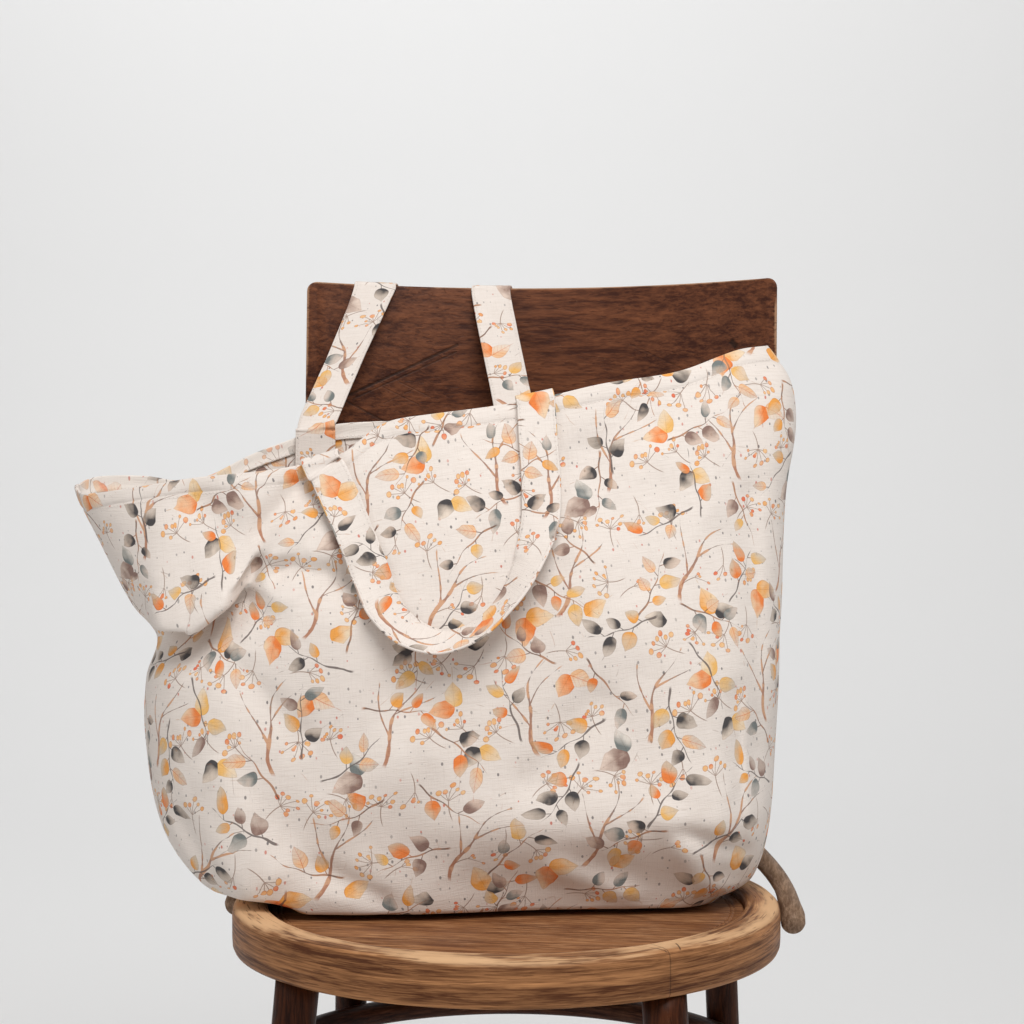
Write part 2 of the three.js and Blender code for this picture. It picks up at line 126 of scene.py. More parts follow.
def fill(made, entries):
    """Gives entries of a node what another node puts out, or a number, a colour or a vector."""
    for place, value in entries.items():
        entry = made.inputs[place]
        if isinstance(value, Value):
            value.tree.links.new(value.end, entry)
        elif entry.type == "RGBA":
            entry.default_value = (*value, 1)
        else:
            entry.default_value = value


def node(tree, kind, entries, **settings):
    """A new node with its settings and entries: what it puts out, by number and by name."""
    made = tree.nodes.new("ShaderNode" + kind)
    for name, setting in settings.items():
        setattr(made, name, setting)
    fill(made, entries)
    found = {}
    for number, end in enumerate(made.outputs):
        found[number] = found[end.name] = Value(tree, end)
    return found


def calc(kind, *values, limit=False):
    """One math node on values and plain numbers."""
    tree = next(value.tree for value in values if isinstance(value, Value))
    return node(tree, "Math", dict(enumerate(values)), operation=kind, use_clamp=limit)[0]


def larger(first, second):
    return calc("MAXIMUM", first, second)


def blend(share, first, second, kind="MIX"):
    """A mix of two colours."""
    return node(share.tree, "Mix", {0: share, 6: first, 7: second}, data_type="RGBA", blend_type=kind)[2]


def noise(where, scale, detail=2.0, rough=0.5, twist=0.0):
    entries = {"Vector": where, "Scale": scale, "Detail": detail, "Roughness": rough, "Distortion": twist}
    return node(where.tree, "TexNoise", entries)["Fac"]


def step(value, start, end):
    """0 before the start, 1 past the end, smooth between."""
    return node(value.tree, "MapRange", {0: value, 1: start, 2: end}, interpolation_type="SMOOTHSTEP")[0]


def stretch(where, size):
    """Coordinates stretched along an axis, for grain that runs that way."""
    return node(where.tree, "VectorMath", {0: where, 1: size}, operation="MULTIPLY")[0]


def split(value, kind="XYZ"):
    """The three parts of a vector or of a colour."""
    found = node(value.tree, "Separate" + kind, {0: value})
    return found[0], found[1], found[2]


def bump(height, strength, distance, **under):
    entries = {"Height": height, "Strength": strength, "Distance": distance, **under}
    return node(height.tree, "Bump", entries)[0]


def start_group(name, inputs, outputs):
    """A node group with named sockets, and the values that it is given."""
    tree = bpy.data.node_groups.new(name, "ShaderNodeTree")
    for sockets, way in ((inputs, "INPUT"), (outputs, "OUTPUT")):
        for entry, kind in sockets.items():
            tree.interface.new_socket(name=entry, in_out=way, socket_type="NodeSocket" + kind)
    ends = tree.nodes.new("NodeGroupInput").outputs
    return tree, {entry: Value(tree, ends[entry]) for entry in inputs}


def end_group(tree, **results):
    fill(tree.nodes.new("NodeGroupOutput"), results)
    return tree


def start_material(name, roughness, level):
    """A material with a node tree, its surface shader and the coordinates of the object."""
    made = bpy.data.materials.new(name)
    made.use_nodes = True
    tree = made.node_tree
    shader = tree.nodes["Principled BSDF"]
    fill(shader, {"Roughness": roughness, "Specular IOR Level": level})
    return made, tree, shader, node(tree, "TexCoord", {})["Object"]


def build_grain():
    """Wood grain: fine streaks and broad bands along stretched coordinates, with wear on top."""
    takes = dict(Along="Vector", Place="Vector", Dark="Color", Light="Color", Worn="Color")
    takes.update(Wear="Float", Marks="Float")
    gives = dict(Colour="Color", Height="Float", Roughness="Float")
    tree, given = start_group("old varnished grain", takes, gives)
    along, place, dark, light, rubbed, wear, marks = given.values()
    streaks = noise(along, 420, 4, 0.62, 0.3)
    lines = noise(along, 1500, 2, 0.5)
    cracks = step(noise(along, 640, 2, 0.4, 0.4), 0.385, 0.33)
    bands = noise(along, 95, 3, 0.55, 0.9)
    blotches = noise(place, 26, 4, 0.6)
    scratches = step(noise(place, 260, 5, 0.75, 1.5), 0.62, 0.74)
    tone = step(bands, 0.3, 0.7) * 0.5 - 0.1
    tone = step(streaks, 0.36, 0.66) * 0.42 + tone
    tone = tone + (blotches * 0.62 - 0.27)
    tone = calc("MULTIPLY_ADD", lines, 0.55, tone - 0.275, limit=True)
    # On the hoop this mask carries wear and also a painted highlight on its top.
    worn = calc("MULTIPLY", wear, step(blotches, 0.36, 0.58), limit=True)
    worn_streaks = streaks * 1.5 + (worn - 1.05)
    worn_streaks = lines * 0.6 + (worn_streaks - 0.3)
    worn = worn * step(worn_streaks, -0.15, 0.45)
    colour = blend(tone, dark, light)
    colour = blend(worn, colour, rubbed)
    colour = blend(scratches * 0.22, colour, rubbed)
    colour = blend(cracks * 0.55, colour, dark)
    colour = blend(marks * 0.75, colour, (0.012, 0.006, 0.004))
    height = cracks * -0.7 + (streaks * 0.6 + bands * 0.8)
    height = marks * -1.4 + height
    rough = worn * 0.2 + (blotches * 0.3 + 0.32)
    return end_group(tree, Colour=colour, Height=height, Roughness=rough)


GRAIN = build_grain()
GRAIN_DEPTH = 0.0012


def varnished(name, colours, along, wear, strength=0.3, path=None, marks=None):
    """A wood of a dark, a light and a worn colour. along stretches the grain, wear is a number or a
    function that makes a mask, and path and marks are functions of the place."""
    made, tree, shader, where = start_material(name, 0.45, 0.13)
    way = path(where) if path else where
    patches = tuple(0.24 + 0.76 * part for part in along)
    entries = dict(zip(("Dark", "Light", "Worn"), colours))
    entries.update(Along=stretch(way, along), Place=stretch(way, patches))
    entries["Wear"] = wear(where) if callable(wear) else wear
    if marks:
        entries["Marks"] = marks(where)
    grain = node(tree, "Group", entries, node_tree=GRAIN)
    fill(shader, {"Base Color": grain["Colour"], "Roughness": grain["Roughness"]})
    fill(shader, {"Normal": bump(grain["Height"], strength, GRAIN_DEPTH)})
    return made


def spin_profile(profile, steps):
    """A ring turned from a profile of (radius, height), in millimetres from the middle of the seat."""
    mesh = bmesh.new()
    points = [mesh.verts.new(SEAT + Vector((radius * MM, 0, height * MM))) for radius, height in profile]
    edges = [mesh.edges.new(pair) for pair in zip(points, points[1:])]
    if profile[0] == profile[-1]:
        bmesh.ops.remove_doubles(mesh, verts=mesh.verts, dist=1e-6)
        edges = list(mesh.edges)
    geometry = list(mesh.verts) + edges
    bmesh.ops.spin(
        mesh, geom=geometry, cent=SEAT, axis=(0, 0, 1), angle=2 * math.pi, steps=steps, use_merge=True
    )
    bmesh.ops.remove_doubles(mesh, verts=mesh.verts, dist=1e-6)
    bmesh.ops.recalc_face_normals(mesh, faces=mesh.faces)
    return mesh


# Pale colour of worn wood; on the hoop's top it also makes a painted highlight.
SEAT_WEAR_AND_HIGHLIGHT = (0.66, 0.41, 0.225)
panel_mesh = spin_profile(
    [(0, -14.5), (120, -14.5), (175.2, -14.5), (176.1, -13.8), (176.2, -8), (175.8, -6.9), (174.6, PANEL_TOP),
     (169.6, PANEL_TOP), (169.1, -7.3), (168.3, -7.3), (167.8, PANEL_TOP), (166.4, PANEL_TOP), (166, -7.1),
     (165.4, -7.1), (165, PANEL_TOP), (120, PANEL_TOP), (0, PANEL_TOP)],
    128,
)
panel_colours = ((0.12, 0.042, 0.017), (0.37, 0.165, 0.066), SEAT_WEAR_AND_HIGHLIGHT)
panel_wood = varnished("old seat panel", panel_colours, (0.09, 1.0, 1.0), 0.3, 0.25)
new_piece("seat_panel_top", panel_mesh, panel_wood, "seat_panel")

# Seat hoop: one beech bar bent round, its two ends glued in a long slanting joint on the right.
# Its upper edge is pale, rubbed by use and with a painted highlight where the light falls on top,
# and a groove runs round where the panel is let in.
HOOP_RADIUS = 202.5
GRAIN_REACH = 0.2
JOINT_ANGLE = 0.712


def round_the_seat(where):
    """Coordinates that run round the middle of the seat: along the hoop, outwards and up."""
    x, y, z = split(where)
    x, y = x - SEAT.x, SEAT.y - y
    out = calc("SQRT", x * x + y * y)
    return node(where.tree, "CombineXYZ", {0: calc("ARCTAN2", x, y) * GRAIN_REACH, 1: out, 2: z})[0]


def worn_and_highlit_top(where):
    """Paler on the hoop's top and rounded edges than on its side: wear, and a painted highlight from above.
    """
    return step(split(where)[2], SEAT.z - 0.006, SEAT.z - 0.0005)


def glued_joint(where):
    """A dark hairline down the hoop's side, and a small notch of two lines on its top."""
    way, out, z = split(round_the_seat(where))
    along, inward = way - JOINT_ANGLE * GRAIN_REACH, HOOP_RADIUS * MM - out
    top = 0.0
    for slant, shift in ((0.55, 0.0), (-0.5, 0.009)):
        off = inward * slant + (along - shift)
        top = larger(step(abs(off), 0.0009, 0.0003), top)
    top = top * step(inward, 0.015, 0.012) * step(z, SEAT.z - 0.0024, SEAT.z - 0.001)
    return larger(step(abs(along), 0.0007, 0.0003) * 0.55, top)


hoop_mesh = spin_profile(
    [(165.5, -29.5), (176, -31.5), (184, -33), (198, -33), (201, -32.1), (202.2, -29.5), (HOOP_RADIUS, -24),
     (HOOP_RADIUS, -8), (201.6, -3.2), (199, -0.8), (194, 0), (186, 0), (180, -0.2), (177.6, -0.9),
     (176.7, -2.4), (176.5, -7), (176.5, -14.8), (165.5, -14.8), (165.5, -29.5)],
    144,
)
hoop_colours = ((0.082, 0.027, 0.01), (0.52, 0.245, 0.102), SEAT_WEAR_AND_HIGHLIGHT)
hoop_wood = varnished(
    "worn bent hoop with painted highlight", hoop_colours, (0.055, 1.0, 1.25), worn_and_highlit_top, path=round_the_seat, marks=glued_joint
)
new_piece("bent_hoop", hoop_mesh, hoop_wood, "seat_hoop")

# Legs, ring and braces: turned and bent beech rods, stained dark. The front legs are pegged under the
# hoop, the back legs run on up as posts, and the ring is screwed to the inside of all four.


def smooth_path(points, share):
    """A place on a smooth curve through points, as far along as the share says."""
    last = len(points) - 1
    i = min(int(share * last), last - 1)
    local = share * last - i
    p1, p2 = points[i], points[i + 1]
    p0 = points[i - 1] if i > 0 else 2 * p1 - p2
    p3 = points[i + 2] if i + 2 <= last else 2 * p2 - p1
    gaps = [max(math.sqrt(float(np.linalg.norm(b - a))), 1e-4) for a, b in ((p0, p1), (p1, p2), (p2, p3))]
    start = (p1 - p0) / gaps[0] - (p2 - p0) / (gaps[0] + gaps[1]) + (p2 - p1) / gaps[1]
    end = (p2 - p1) / gaps[1] - (p3 - p1) / (gaps[1] + gaps[2]) + (p3 - p2) / gaps[2]
    start, end = start * gaps[1], end * gaps[1]
    bent = -3 * p1 + 3 * p2 - 2 * start - end
    return p1 + start * local + bent * local**2 + (2 * p1 - 2 * p2 + start + end) * local**3


def smooth_way(points, share):
    """Which way that curve runs there."""
    ahead = smooth_path(points, min(share + 5e-4, 1)) - smooth_path(points, max(share - 5e-4, 0))
    return ahead / np.linalg.norm(ahead)


def bent_rod(stations, sides, steps, level):
    """A round rod through (x, y, z, radius) rows, in millimetres from the middle of the seat."""
    points = [np.array(row[:3], float) for row in stations]
    last = len(stations) - 1
    mesh = bmesh.new()
    bmesh.ops.create_cone(mesh, cap_ends=True, segments=sides, radius1=1, radius2=1, depth=1)
    sides_only = [edge for edge in mesh.edges if abs(edge.verts[0].co.z - edge.verts[1].co.z) > 0.5]
    bmesh.ops.subdivide_edges(mesh, edges=sides_only, cuts=steps - 1, use_grid_fill=True)
    for v in mesh.verts:
        share = min(max(v.co.z + 0.5, 0), 1)
        i = min(int(share * last), last - 1)
        radius = stations[i][3] + (stations[i + 1][3] - stations[i][3]) * (share * last - i)
        ahead = smooth_way(points, share)
        side = np.array((1.0, 0, 0)) if level else np.cross(ahead, (0, 0, 1))
        side = side / np.linalg.norm(side)
        upward = np.array((0, 1.0, 0)) if level else np.cross(side, ahead)
        place = smooth_path(points, share) + radius * (v.co.x * side + v.co.y * upward)
        v.co = SEAT + Vector(place) * MM
    bmesh.ops.recalc_face_normals(mesh, faces=mesh.faces)
    return mesh


def rod_pair(part, shape, wood, sides, steps, level, rows):
    """A rod on the left and one on the right, both from the right one's rows."""
    for hand, side in ((-1, "left"), (1, "right")):
        name = part + "_" + side
        stations = [(hand * x, *others) for x, *others in rows]
        new_piece(name + "_" + shape, bent_rod(stations, sides, steps, level), wood, name)


def rubbed_low(where):
    """Scuffs near the floor and here and there above it."""
    scuffs = step(noise(where, 60, 4, 0.7), 0.52, 0.7)
    return step(split(where)[2], 0.09, 0.0) * 0.5 + scuffs * 0.35


LEG_COLOURS = ((0.014, 0.003, 0.001), (0.085, 0.024, 0.008), (0.22, 0.12, 0.07))
leg_wood = varnished("dark worn legs", LEG_COLOURS, (1.0, 1.0, 0.07), rubbed_low)
rod_pair("front_leg", "turned", leg_wood, 40, 60, True, (
    (158, -168, -450, 9.5), (157.9, -167.9, -448, 11.2), (157.5, -167.4, -440, 11.6), (143, -152, -240, 14),
    (126.5, -134.3, -33.3, 15.5),
))

REST_TOP = 471.0
REST_HEIGHT = 190.0
REST_HALF = 194.0
REST_THICKNESS = 10
REST_LEAN = 12
POST_RADIUS = 12


def rest_y(x):
    return 180 + 43 * (1 - (x / REST_HALF) ** 2)


def rest_top(x):
    return REST_TOP - 4.4 * (1 - (x / REST_HALF) ** 2)


def rest_face(x, z):
    """How far back the backrest's face lies, which leans back as it rises."""
    return rest_y(x) - REST_LEAN * (REST_TOP - z) / REST_HEIGHT


def behind_rest(x, z):
    """Where the middle of a post lies that touches the backrest's back, which runs aslant there."""
    return rest_face(x, z) + REST_THICKNESS + (POST_RADIUS + 0.3) / 0.93


rod_pair("back_leg", "bent", leg_wood, 40, 120, True, (
    (168, 206, -450, 11.5), (160, 184, -290, 13), (154, 165.8, -134, 13), (150.5, 153.9, -14.75, 13),
    (153, 162, 70, 13), (157, 184, 180, POST_RADIUS), (160.5, behind_rest(160.5, 281), 281, POST_RADIUS),
    (162, behind_rest(162, 430), 430, POST_RADIUS),
))

ring_middle = SEAT + Vector((0, 0.0208, -0.134))
ring_place = Matrix.Translation(ring_middle + Vector((0.1892, 0, 0))) @ Matrix.Rotation(math.pi / 2, 4, "X")
ring_mesh = bmesh.new()
bmesh.ops.create_circle(ring_mesh, segments=24, radius=9.5 * MM, matrix=ring_place)
bmesh.ops.spin(
    ring_mesh, geom=list(ring_mesh.verts) + list(ring_mesh.edges), cent=ring_middle,
    axis=(0, 0, 1), angle=2 * math.pi, steps=128, use_merge=True,
)
bmesh.ops.recalc_face_normals(ring_mesh, faces=ring_mesh.faces)
ring_wood = varnished("dark bent ring", LEG_COLOURS, (0.08, 1.0, 1.0), 0.3, path=round_the_seat)
new_piece("ring_bent", ring_mesh, ring_wood, "ring_stretcher")

brace_colours = ((0.13, 0.075, 0.045), (0.34, 0.225, 0.15), (0.46, 0.33, 0.23))
brace_wood = varnished("greyed braces", brace_colours, (1.0, 0.1, 0.6), 0.4, 0.35)
rod_pair("brace", "bent", brace_wood, 32, 70, False, (
    (212.2, 13, -19, 3.5), (212.0, 14.2, -18.4, 7.3), (211.6, 17, -17, 9), (210.9, 23, -13, 9.3),
    (209, 33, -8.5, 8.4), (203.4, 60, 1, 7.2), (187, 102, 13, 7.4), (161.3, 143.8, 24.9, 9.5),
))

# Backrest: a panel of moulded plywood, bent to a shallow bow and nailed to the posts. It is stained
# dark, with slanting lines pressed into its face and pale wood where its edges are rubbed.
# Each line runs from x, z to x, z in millimetres, with its width and strength; the short ones are nails.
PRESSED_LINES = (
    (-166, 374, -73, 419, 1.1, 0.85), (-156, 374, -74, 413, 0.7, 0.6), (-166, 374, -100, 337, 0.8, 0.7),
    (-132, 383, -104, 369, 0.5, 0.4), (-120, 388, -94, 375, 0.5, 0.35), (-132, 370, -106, 383, 0.5, 0.35),
    (73, 419, 150, 382, 0.7, 0.3), (-86, 470, -83, 463, 0.35, 0.5), (16, 449, 30, 446, 0.3, 0.4),
    (158, 419, 160, 417, 2.4, 1.0), (-158, 419, -160, 417, 2.4, 1.0), (158, 300, 160, 298, 2.4, 1.0),
    (-158, 300, -160, 298, 2.4, 1.0),
)


def pressed_lines(where):
    """Slanting lines pressed into the face that meet in a point at the left, scratches and nail heads."""
    x, _, z = split(where)
    x, z = (x - SEAT.x) * 1000, (z - SEAT.z) * 1000
    lines = 0.0
    for x0, z0, x1, z1, width, strength in PRESSED_LINES:
        length = math.hypot(x1 - x0, z1 - z0)
        way_x, way_z = (x1 - x0) / length, (z1 - z0) / length
        from_x, from_z = x - x0, z - z0
        along = from_x * way_x + from_z * way_z
        off = from_x * way_z + from_z * -way_x
        near = larger(abs(off), abs(along - length / 2) - length / 2)
        lines = larger(step(near, width * 1.5, width * 0.5) * strength, lines)
    return lines


def rubbed_rest(where):
    """Wear along the backrest's outline, worked out from the place on it."""
    x, _, z = split(where)
    x = abs(x - SEAT.x)
    side = step(x, 0.1905, 0.1942)
    top = step(x * x * -0.117 + z, SEAT.z + 0.4646, SEAT.z + 0.4668)
    return larger(side, top) * 1.4


def rounded(mesh, edges, size, segments):
    bmesh.ops.bevel(
        mesh, geom=edges, offset=size, offset_type="OFFSET", affect="EDGES", segments=segments, profile=0.5,
        material=-1,
    )


rest_mesh = bmesh.new()
bmesh.ops.create_cube(rest_mesh, size=2)
for v in rest_mesh.verts:
    v.co = (v.co.x * REST_HALF, v.co.y * REST_THICKNESS / 2, v.co.z * REST_HEIGHT / 2)
rounded(rest_mesh, [e for e in rest_mesh.edges if abs(e.verts[0].co.y - e.verts[1].co.y) > 5], 8, 6)
REST_STRIPS = 48
for count in range(1, REST_STRIPS):
    x = REST_HALF * (2 * count / REST_STRIPS - 1)
    everything = list(rest_mesh.verts) + list(rest_mesh.edges) + list(rest_mesh.faces)
    bmesh.ops.bisect_plane(rest_mesh, geom=everything, plane_co=(x, 0, 0), plane_no=(1, 0, 0), dist=1e-4)
sharp = [e for e in rest_mesh.edges if len(e.link_faces) == 2 and e.calc_face_angle() > 1.2]
rounded(rest_mesh, sharp, 1.8, 3)
for v in rest_mesh.verts:
    x, y, z = v.co
    z = rest_top(x) - REST_HEIGHT / 2 + z
    v.co = SEAT + Vector((x, rest_face(x, z) + REST_THICKNESS / 2 + y, z)) * MM
bmesh.ops.recalc_face_normals(rest_mesh, faces=rest_mesh.faces)
rest_colours = ((0.045, 0.013, 0.007), (0.2, 0.07, 0.03), (0.36, 0.2, 0.115))
rest_wood = varnished("dark backrest", rest_colours, (0.12, 1.0, 1.0), rubbed_rest, marks=pressed_lines)
new_piece("backrest_board", rest_mesh, rest_wood, "back_rest")

# Cloth of the bag: washed linen in plain weave, warm white with small slubs, printed all over on its
# face with watercolour sprigs of autumn leaves, berries and specks. The print repeats every 370 mm.
REPEAT = 370.0
FULL_TURN = 6.28
STITCH_LINE = 12.3


def chances(first, second, third):
    """Three even chances that belong to a cell of the repeat."""
    tree = first.tree
    joined = node(tree, "CombineXYZ", {0: first, 1: second, 2: third})[0]
    return split(node(tree, "TexWhiteNoise", {"Vector": joined}, noise_dimensions="3D")["Color"], "Color")


def steps_of_colour(value, colours):
    """One of several inks, chosen by a chance."""
    made = value.tree.nodes.new("ShaderNodeValToRGB")
    made.color_ramp.interpolation = "CONSTANT"
    while len(made.color_ramp.elements) < len(colours):
        made.color_ramp.elements.new(0.5)
    for entry, (start, colour) in zip(made.color_ramp.elements, colours):
        entry.position = start
        entry.color = (*colour, 1)
    fill(made, {0: value})
    return Value(value.tree, made.outputs[0])


def turned(x, y, turn):
    """A place turned about the middle of its cell."""
    if isinstance(turn, Value):
        c, s = calc("COSINE", turn), calc("SINE", turn)
    else:
        c, s = math.cos(turn), math.sin(turn)
    return x * c + y * s, y * c - x * s


def cells(x, y, repeat, count, slide, seed):
    """Cuts a repeat into square cells, each row slid along: a place in its cell, and its chances."""
    size = repeat / count
    down = y * (1 / size)
    row = calc("FLOOR", down)
    row_kept = calc("FLOORED_MODULO", row, count)
    across = row_kept * slide + x * (1 / size)
    column = calc("FLOOR", across)
    column_kept = calc("FLOORED_MODULO", column, count)
    return (across - column - 0.5) * size, (down - row - 0.5) * size, chances(column_kept, row_kept, seed)


# Inks from the leaf's foot and from its tip: red, orange, ochre, charcoal, blue-grey, peach and brown.
FIRST_INK = [
    (0.0, (0.84, 0.235, 0.06)), (0.13, (0.85, 0.38, 0.09)), (0.29, (0.84, 0.49, 0.16)),
    (0.45, (0.07, 0.065, 0.067)), (0.61, (0.19, 0.21, 0.205)), (0.74, (0.84, 0.52, 0.30)),
    (0.88, (0.28, 0.18, 0.15)),
]
SECOND_INK = [
    (0.0, (0.85, 0.54, 0.25)), (0.13, (0.85, 0.62, 0.34)), (0.29, (0.84, 0.66, 0.42)),
    (0.45, (0.74, 0.60, 0.47)), (0.61, (0.70, 0.65, 0.58)), (0.74, (0.84, 0.69, 0.54)),
    (0.88, (0.74, 0.56, 0.45)),
]
DRAWN = dict(Colour="Color", Cover="Float")


def build_leaf():
    """A pointed leaf in watercolour: one ink running into another, a darker rim and fine veins."""
    takes = dict.fromkeys(("Along", "Across", "Chance", "Blot", "Plump"), "Float")
    tree, given = start_group("printed leaf", takes, DRAWN)
    x, across, chance, blot, plump = given.values()
    side = abs(across)
    t = calc("ADD", x, 0.0, limit=True)
    inside = blot * 0.06 + calc("SQRT", t) * (1.0 - t) * plump
    inside = inside - (side + 0.03)
    lean = calc("SINE", chance * 211.0) * 1.7
    wash = blot * 0.5 + (x * 1.05 - 0.32)
    wash = calc("MULTIPLY_ADD", across, lean, wash, limit=True)
    colour = blend(wash, steps_of_colour(chance, FIRST_INK), steps_of_colour(chance, SECOND_INK))
    rim = step(inside, 0.075, 0.015) * (blot * 0.4 + 0.1)
    colour = blend(rim, colour, (0.46, 0.30, 0.22), "MULTIPLY")
    rib = step(side, 0.02, 0.005) * 0.7
    vein = calc("FRACT", (side * -0.9 + x) * 5.0)
    vein = step(abs(vein - 0.5), 0.1, 0.0) * 0.45
    peach = calc("COMPARE", chance, 0.81, 0.07)
    drawn = larger(rib, vein) * (peach * 0.9 + 0.4)
    colour = blend(drawn, colour, blend(peach, (0.5, 0.32, 0.22), (0.8, 0.28, 0.12)), "MULTIPLY")
    cover = calc("MULTIPLY", step(inside, 0.0, 0.035), wash * -0.42 + 1.02, limit=True)
    return end_group(tree, Colour=colour, Cover=cover)


LEAF = build_leaf()


def leaf_at(along, across, length, chance, blot, plump):
    """A printed leaf of a given length, seen at a place along it and across it."""
    entries = dict(Along=along / length, Across=across / length, Chance=chance, Blot=blot, Plump=plump)
    return node(blot.tree, "Group", entries, node_tree=LEAF)


def start_motif(name):
    """The group of a motif, the place on the cloth in millimetres, the blot and the seed."""
    tree, given = start_group(name, dict.fromkeys(("X", "Y", "Blot", "Seed"), "Float"), DRAWN)
    return tree, *given.values()


def build_sprig():
    """A brown twig that tapers, with leaves to both sides on short stalks, turned its own way."""
    tree, x, y, blot, seed = start_motif("printed sprig")
    x, y, (turn, curve, kind) = cells(x, y, REPEAT, 5, 0.4, seed)
    x, y = turned(x, y, turn * FULL_TURN)
    x = x + 3.0
    y = x * x * ((curve - 0.5) * 0.016) + y
    y = calc("SINE", x * 0.31) * 0.7 + y
    from_stem = abs(y)
    lower = y < 0.0
    slot = (lower * 7.5 + (from_stem * -0.839 + x)) * (1 / 15)
    number = calc("FLOOR", slot)
    chance, size, present = chances(number, lower, kind * 57.0)
    aside = (slot - number - 0.5) * 11.5
    along = aside * 0.839 + from_stem * 1.305
    sway = (present - 0.5) * 0.3
    aside = along * sway + aside
    stalk = sway * 7.0 + 3.2
    leaf = leaf_at(along - stalk, aside, size * 6.5 + 11.5, chance, blot, 0.87)
    root = (number + 0.5) * 15.0 + lower * -7.5
    kept = (abs(root) < 20.0) * (present > 0.22)
    leaf_cover = leaf["Cover"] * kept
    thin = step(abs(aside), 0.5, 0.15) * (along < stalk) * kept
    taper = blot * 0.4 + (x * -0.014 + 0.1)
    stem = step(from_stem - taper, 0.3, -0.05) * step(abs(x), 28.0, 25.0)
    bark = blend(step(blot, 0.3, 0.7), (0.17, 0.09, 0.06), (0.45, 0.22, 0.12))
    bark = blend(kind > 0.55, bark, (0.15, 0.12, 0.11))
    cover = larger(larger(stem, thin) * 0.9, leaf_cover)
    return end_group(tree, Colour=blend(leaf_cover, bark, leaf["Colour"]), Cover=cover)


def build_berries():
    """A spray of small round berries on hair-thin stalks that fan out from the end of a twig."""
    tree, x, y, blot, seed = start_motif("printed berries")
    x, y, (turn, kind, present) = cells(x, y, REPEAT / 2, 4, 0.25, seed)
    x, y = turned(x, y, turn * FULL_TURN)
    x = x + 2.0
    y = x * x * 0.018 + y
    out = calc("SQRT", x * x + y * y)
    way = calc("ARCTAN2", y, x) * (1 / 0.47)
    number = calc("ROUND", way)
    reach, size, hue = chances(number, kind * 91.0, 4.0)
    aside = (way - number) * 0.47 * out
    past = out - (reach * 8.5 + 4.5)
    off = calc("SQRT", aside * aside + past * past) - (size * 1.1 + 1.15)
    hair = step(abs(aside), 0.36, 0.1) * (past < 0.0)
    kept = (abs(number) < kind * 2.4 + 1.5) * (present > 0.4)
    twig = step(abs(y), 0.5, 0.15) * (x < 0.0) * step(x, -15.0, -11.0) * (present > 0.4)
    skin = blend(step(hue, 0.45, 0.9), (0.85, 0.42, 0.14), (0.78, 0.16, 0.07))
    skin = blend(blot * 0.8, skin, (0.85, 0.58, 0.32))
    skin = blend(step(off, -0.8, -0.1) * 0.55, skin, (0.55, 0.22, 0.13), "MULTIPLY")
    berry = step(off, 0.15, -0.25) * kept
    cover = larger(berry * 0.95, larger(hair * 0.8 * kept, twig * 0.85))
    return end_group(tree, Colour=blend(berry, (0.27, 0.16, 0.11), skin), Cover=cover)


def build_loose():
    """A fallen leaf, or two that touch at their stalks."""
    tree, x, y, blot, seed = start_motif("loose leaves")
    x, y, (turn, kind, present) = cells(x, y, REPEAT / 2, 4, 0.5, seed)
    x, y = turned(x, y, turn * FULL_TURN)
    lower = y < 0.0
    chance, size, second = chances(lower, kind * 73.0, 8.0)
    x, y = turned(x + 9.0, abs(y), 0.86)
    leaf = leaf_at(x, y, size * 8.0 + 16.0, chance, blot, 0.92)
    kept = (second + (1.0 - lower) > 0.5) * (present > 0.38)
    return end_group(tree, Colour=leaf["Colour"], Cover=leaf["Cover"] * kept)


def build_branch():
    """A thicker reddish branch with two forks, drawn in one wash, that grows more or less upwards."""
    tree, x, y, blot, seed = start_motif("printed branch")
    x, y, (turn, curve, kind) = cells(x, y, REPEAT / 2, 2, 0.5, seed)
    x, y = turned(x, y, turn * 1.5 + 0.8)
    y = calc("SINE", x * 0.13 + kind * 6.0) * 2.2 + y
    y = x * x * ((curve - 0.5) * 0.018) + y
    cover = 0.0
    forks = ((-36, 36, 0.0, 1.5, 4), (-14, 20, 0.75, 0.9, 0.5), (2, 31, -0.62, 0.7, 0.5))
    for start, end, aslant, thick, fade in forks:
        off = (x - start) * -aslant + y
        half = step(x, start, end) * (0.25 - thick) + thick
        half = blot * 0.8 + (half - 0.4)
        line = step(abs(off) - half, 0.25, -0.15) * step(x, start, start + fade) * step(x, end, end - 3)
        cover = larger(line, cover)
    colour = blend(step(x, -30.0, 24.0), (0.42, 0.15, 0.06), (0.19, 0.125, 0.1))
    colour = blend(step(blot, 0.45, 0.8), colour, (0.6, 0.3, 0.15))
    return end_group(tree, Colour=colour, Cover=cover * 0.85)


# The motifs of the print from the lowest wash up, each with its shift in millimetres and its seed.
BERRIES, LOOSE, BRANCH, SPRIG = build_berries(), build_loose(), build_branch(), build_sprig()
LAYERS = (
    (BERRIES, 117.0, 84.0, 79.0), (BERRIES, 325.0, 264.0, 88.0), (LOOSE, 127.0, 151.0, 48.0),
    (BRANCH, 0.0, 0.0, 17.0), (SPRIG, 329.0, 97.0, 5.0), (SPRIG, 303.0, 278.0, 36.0),
)


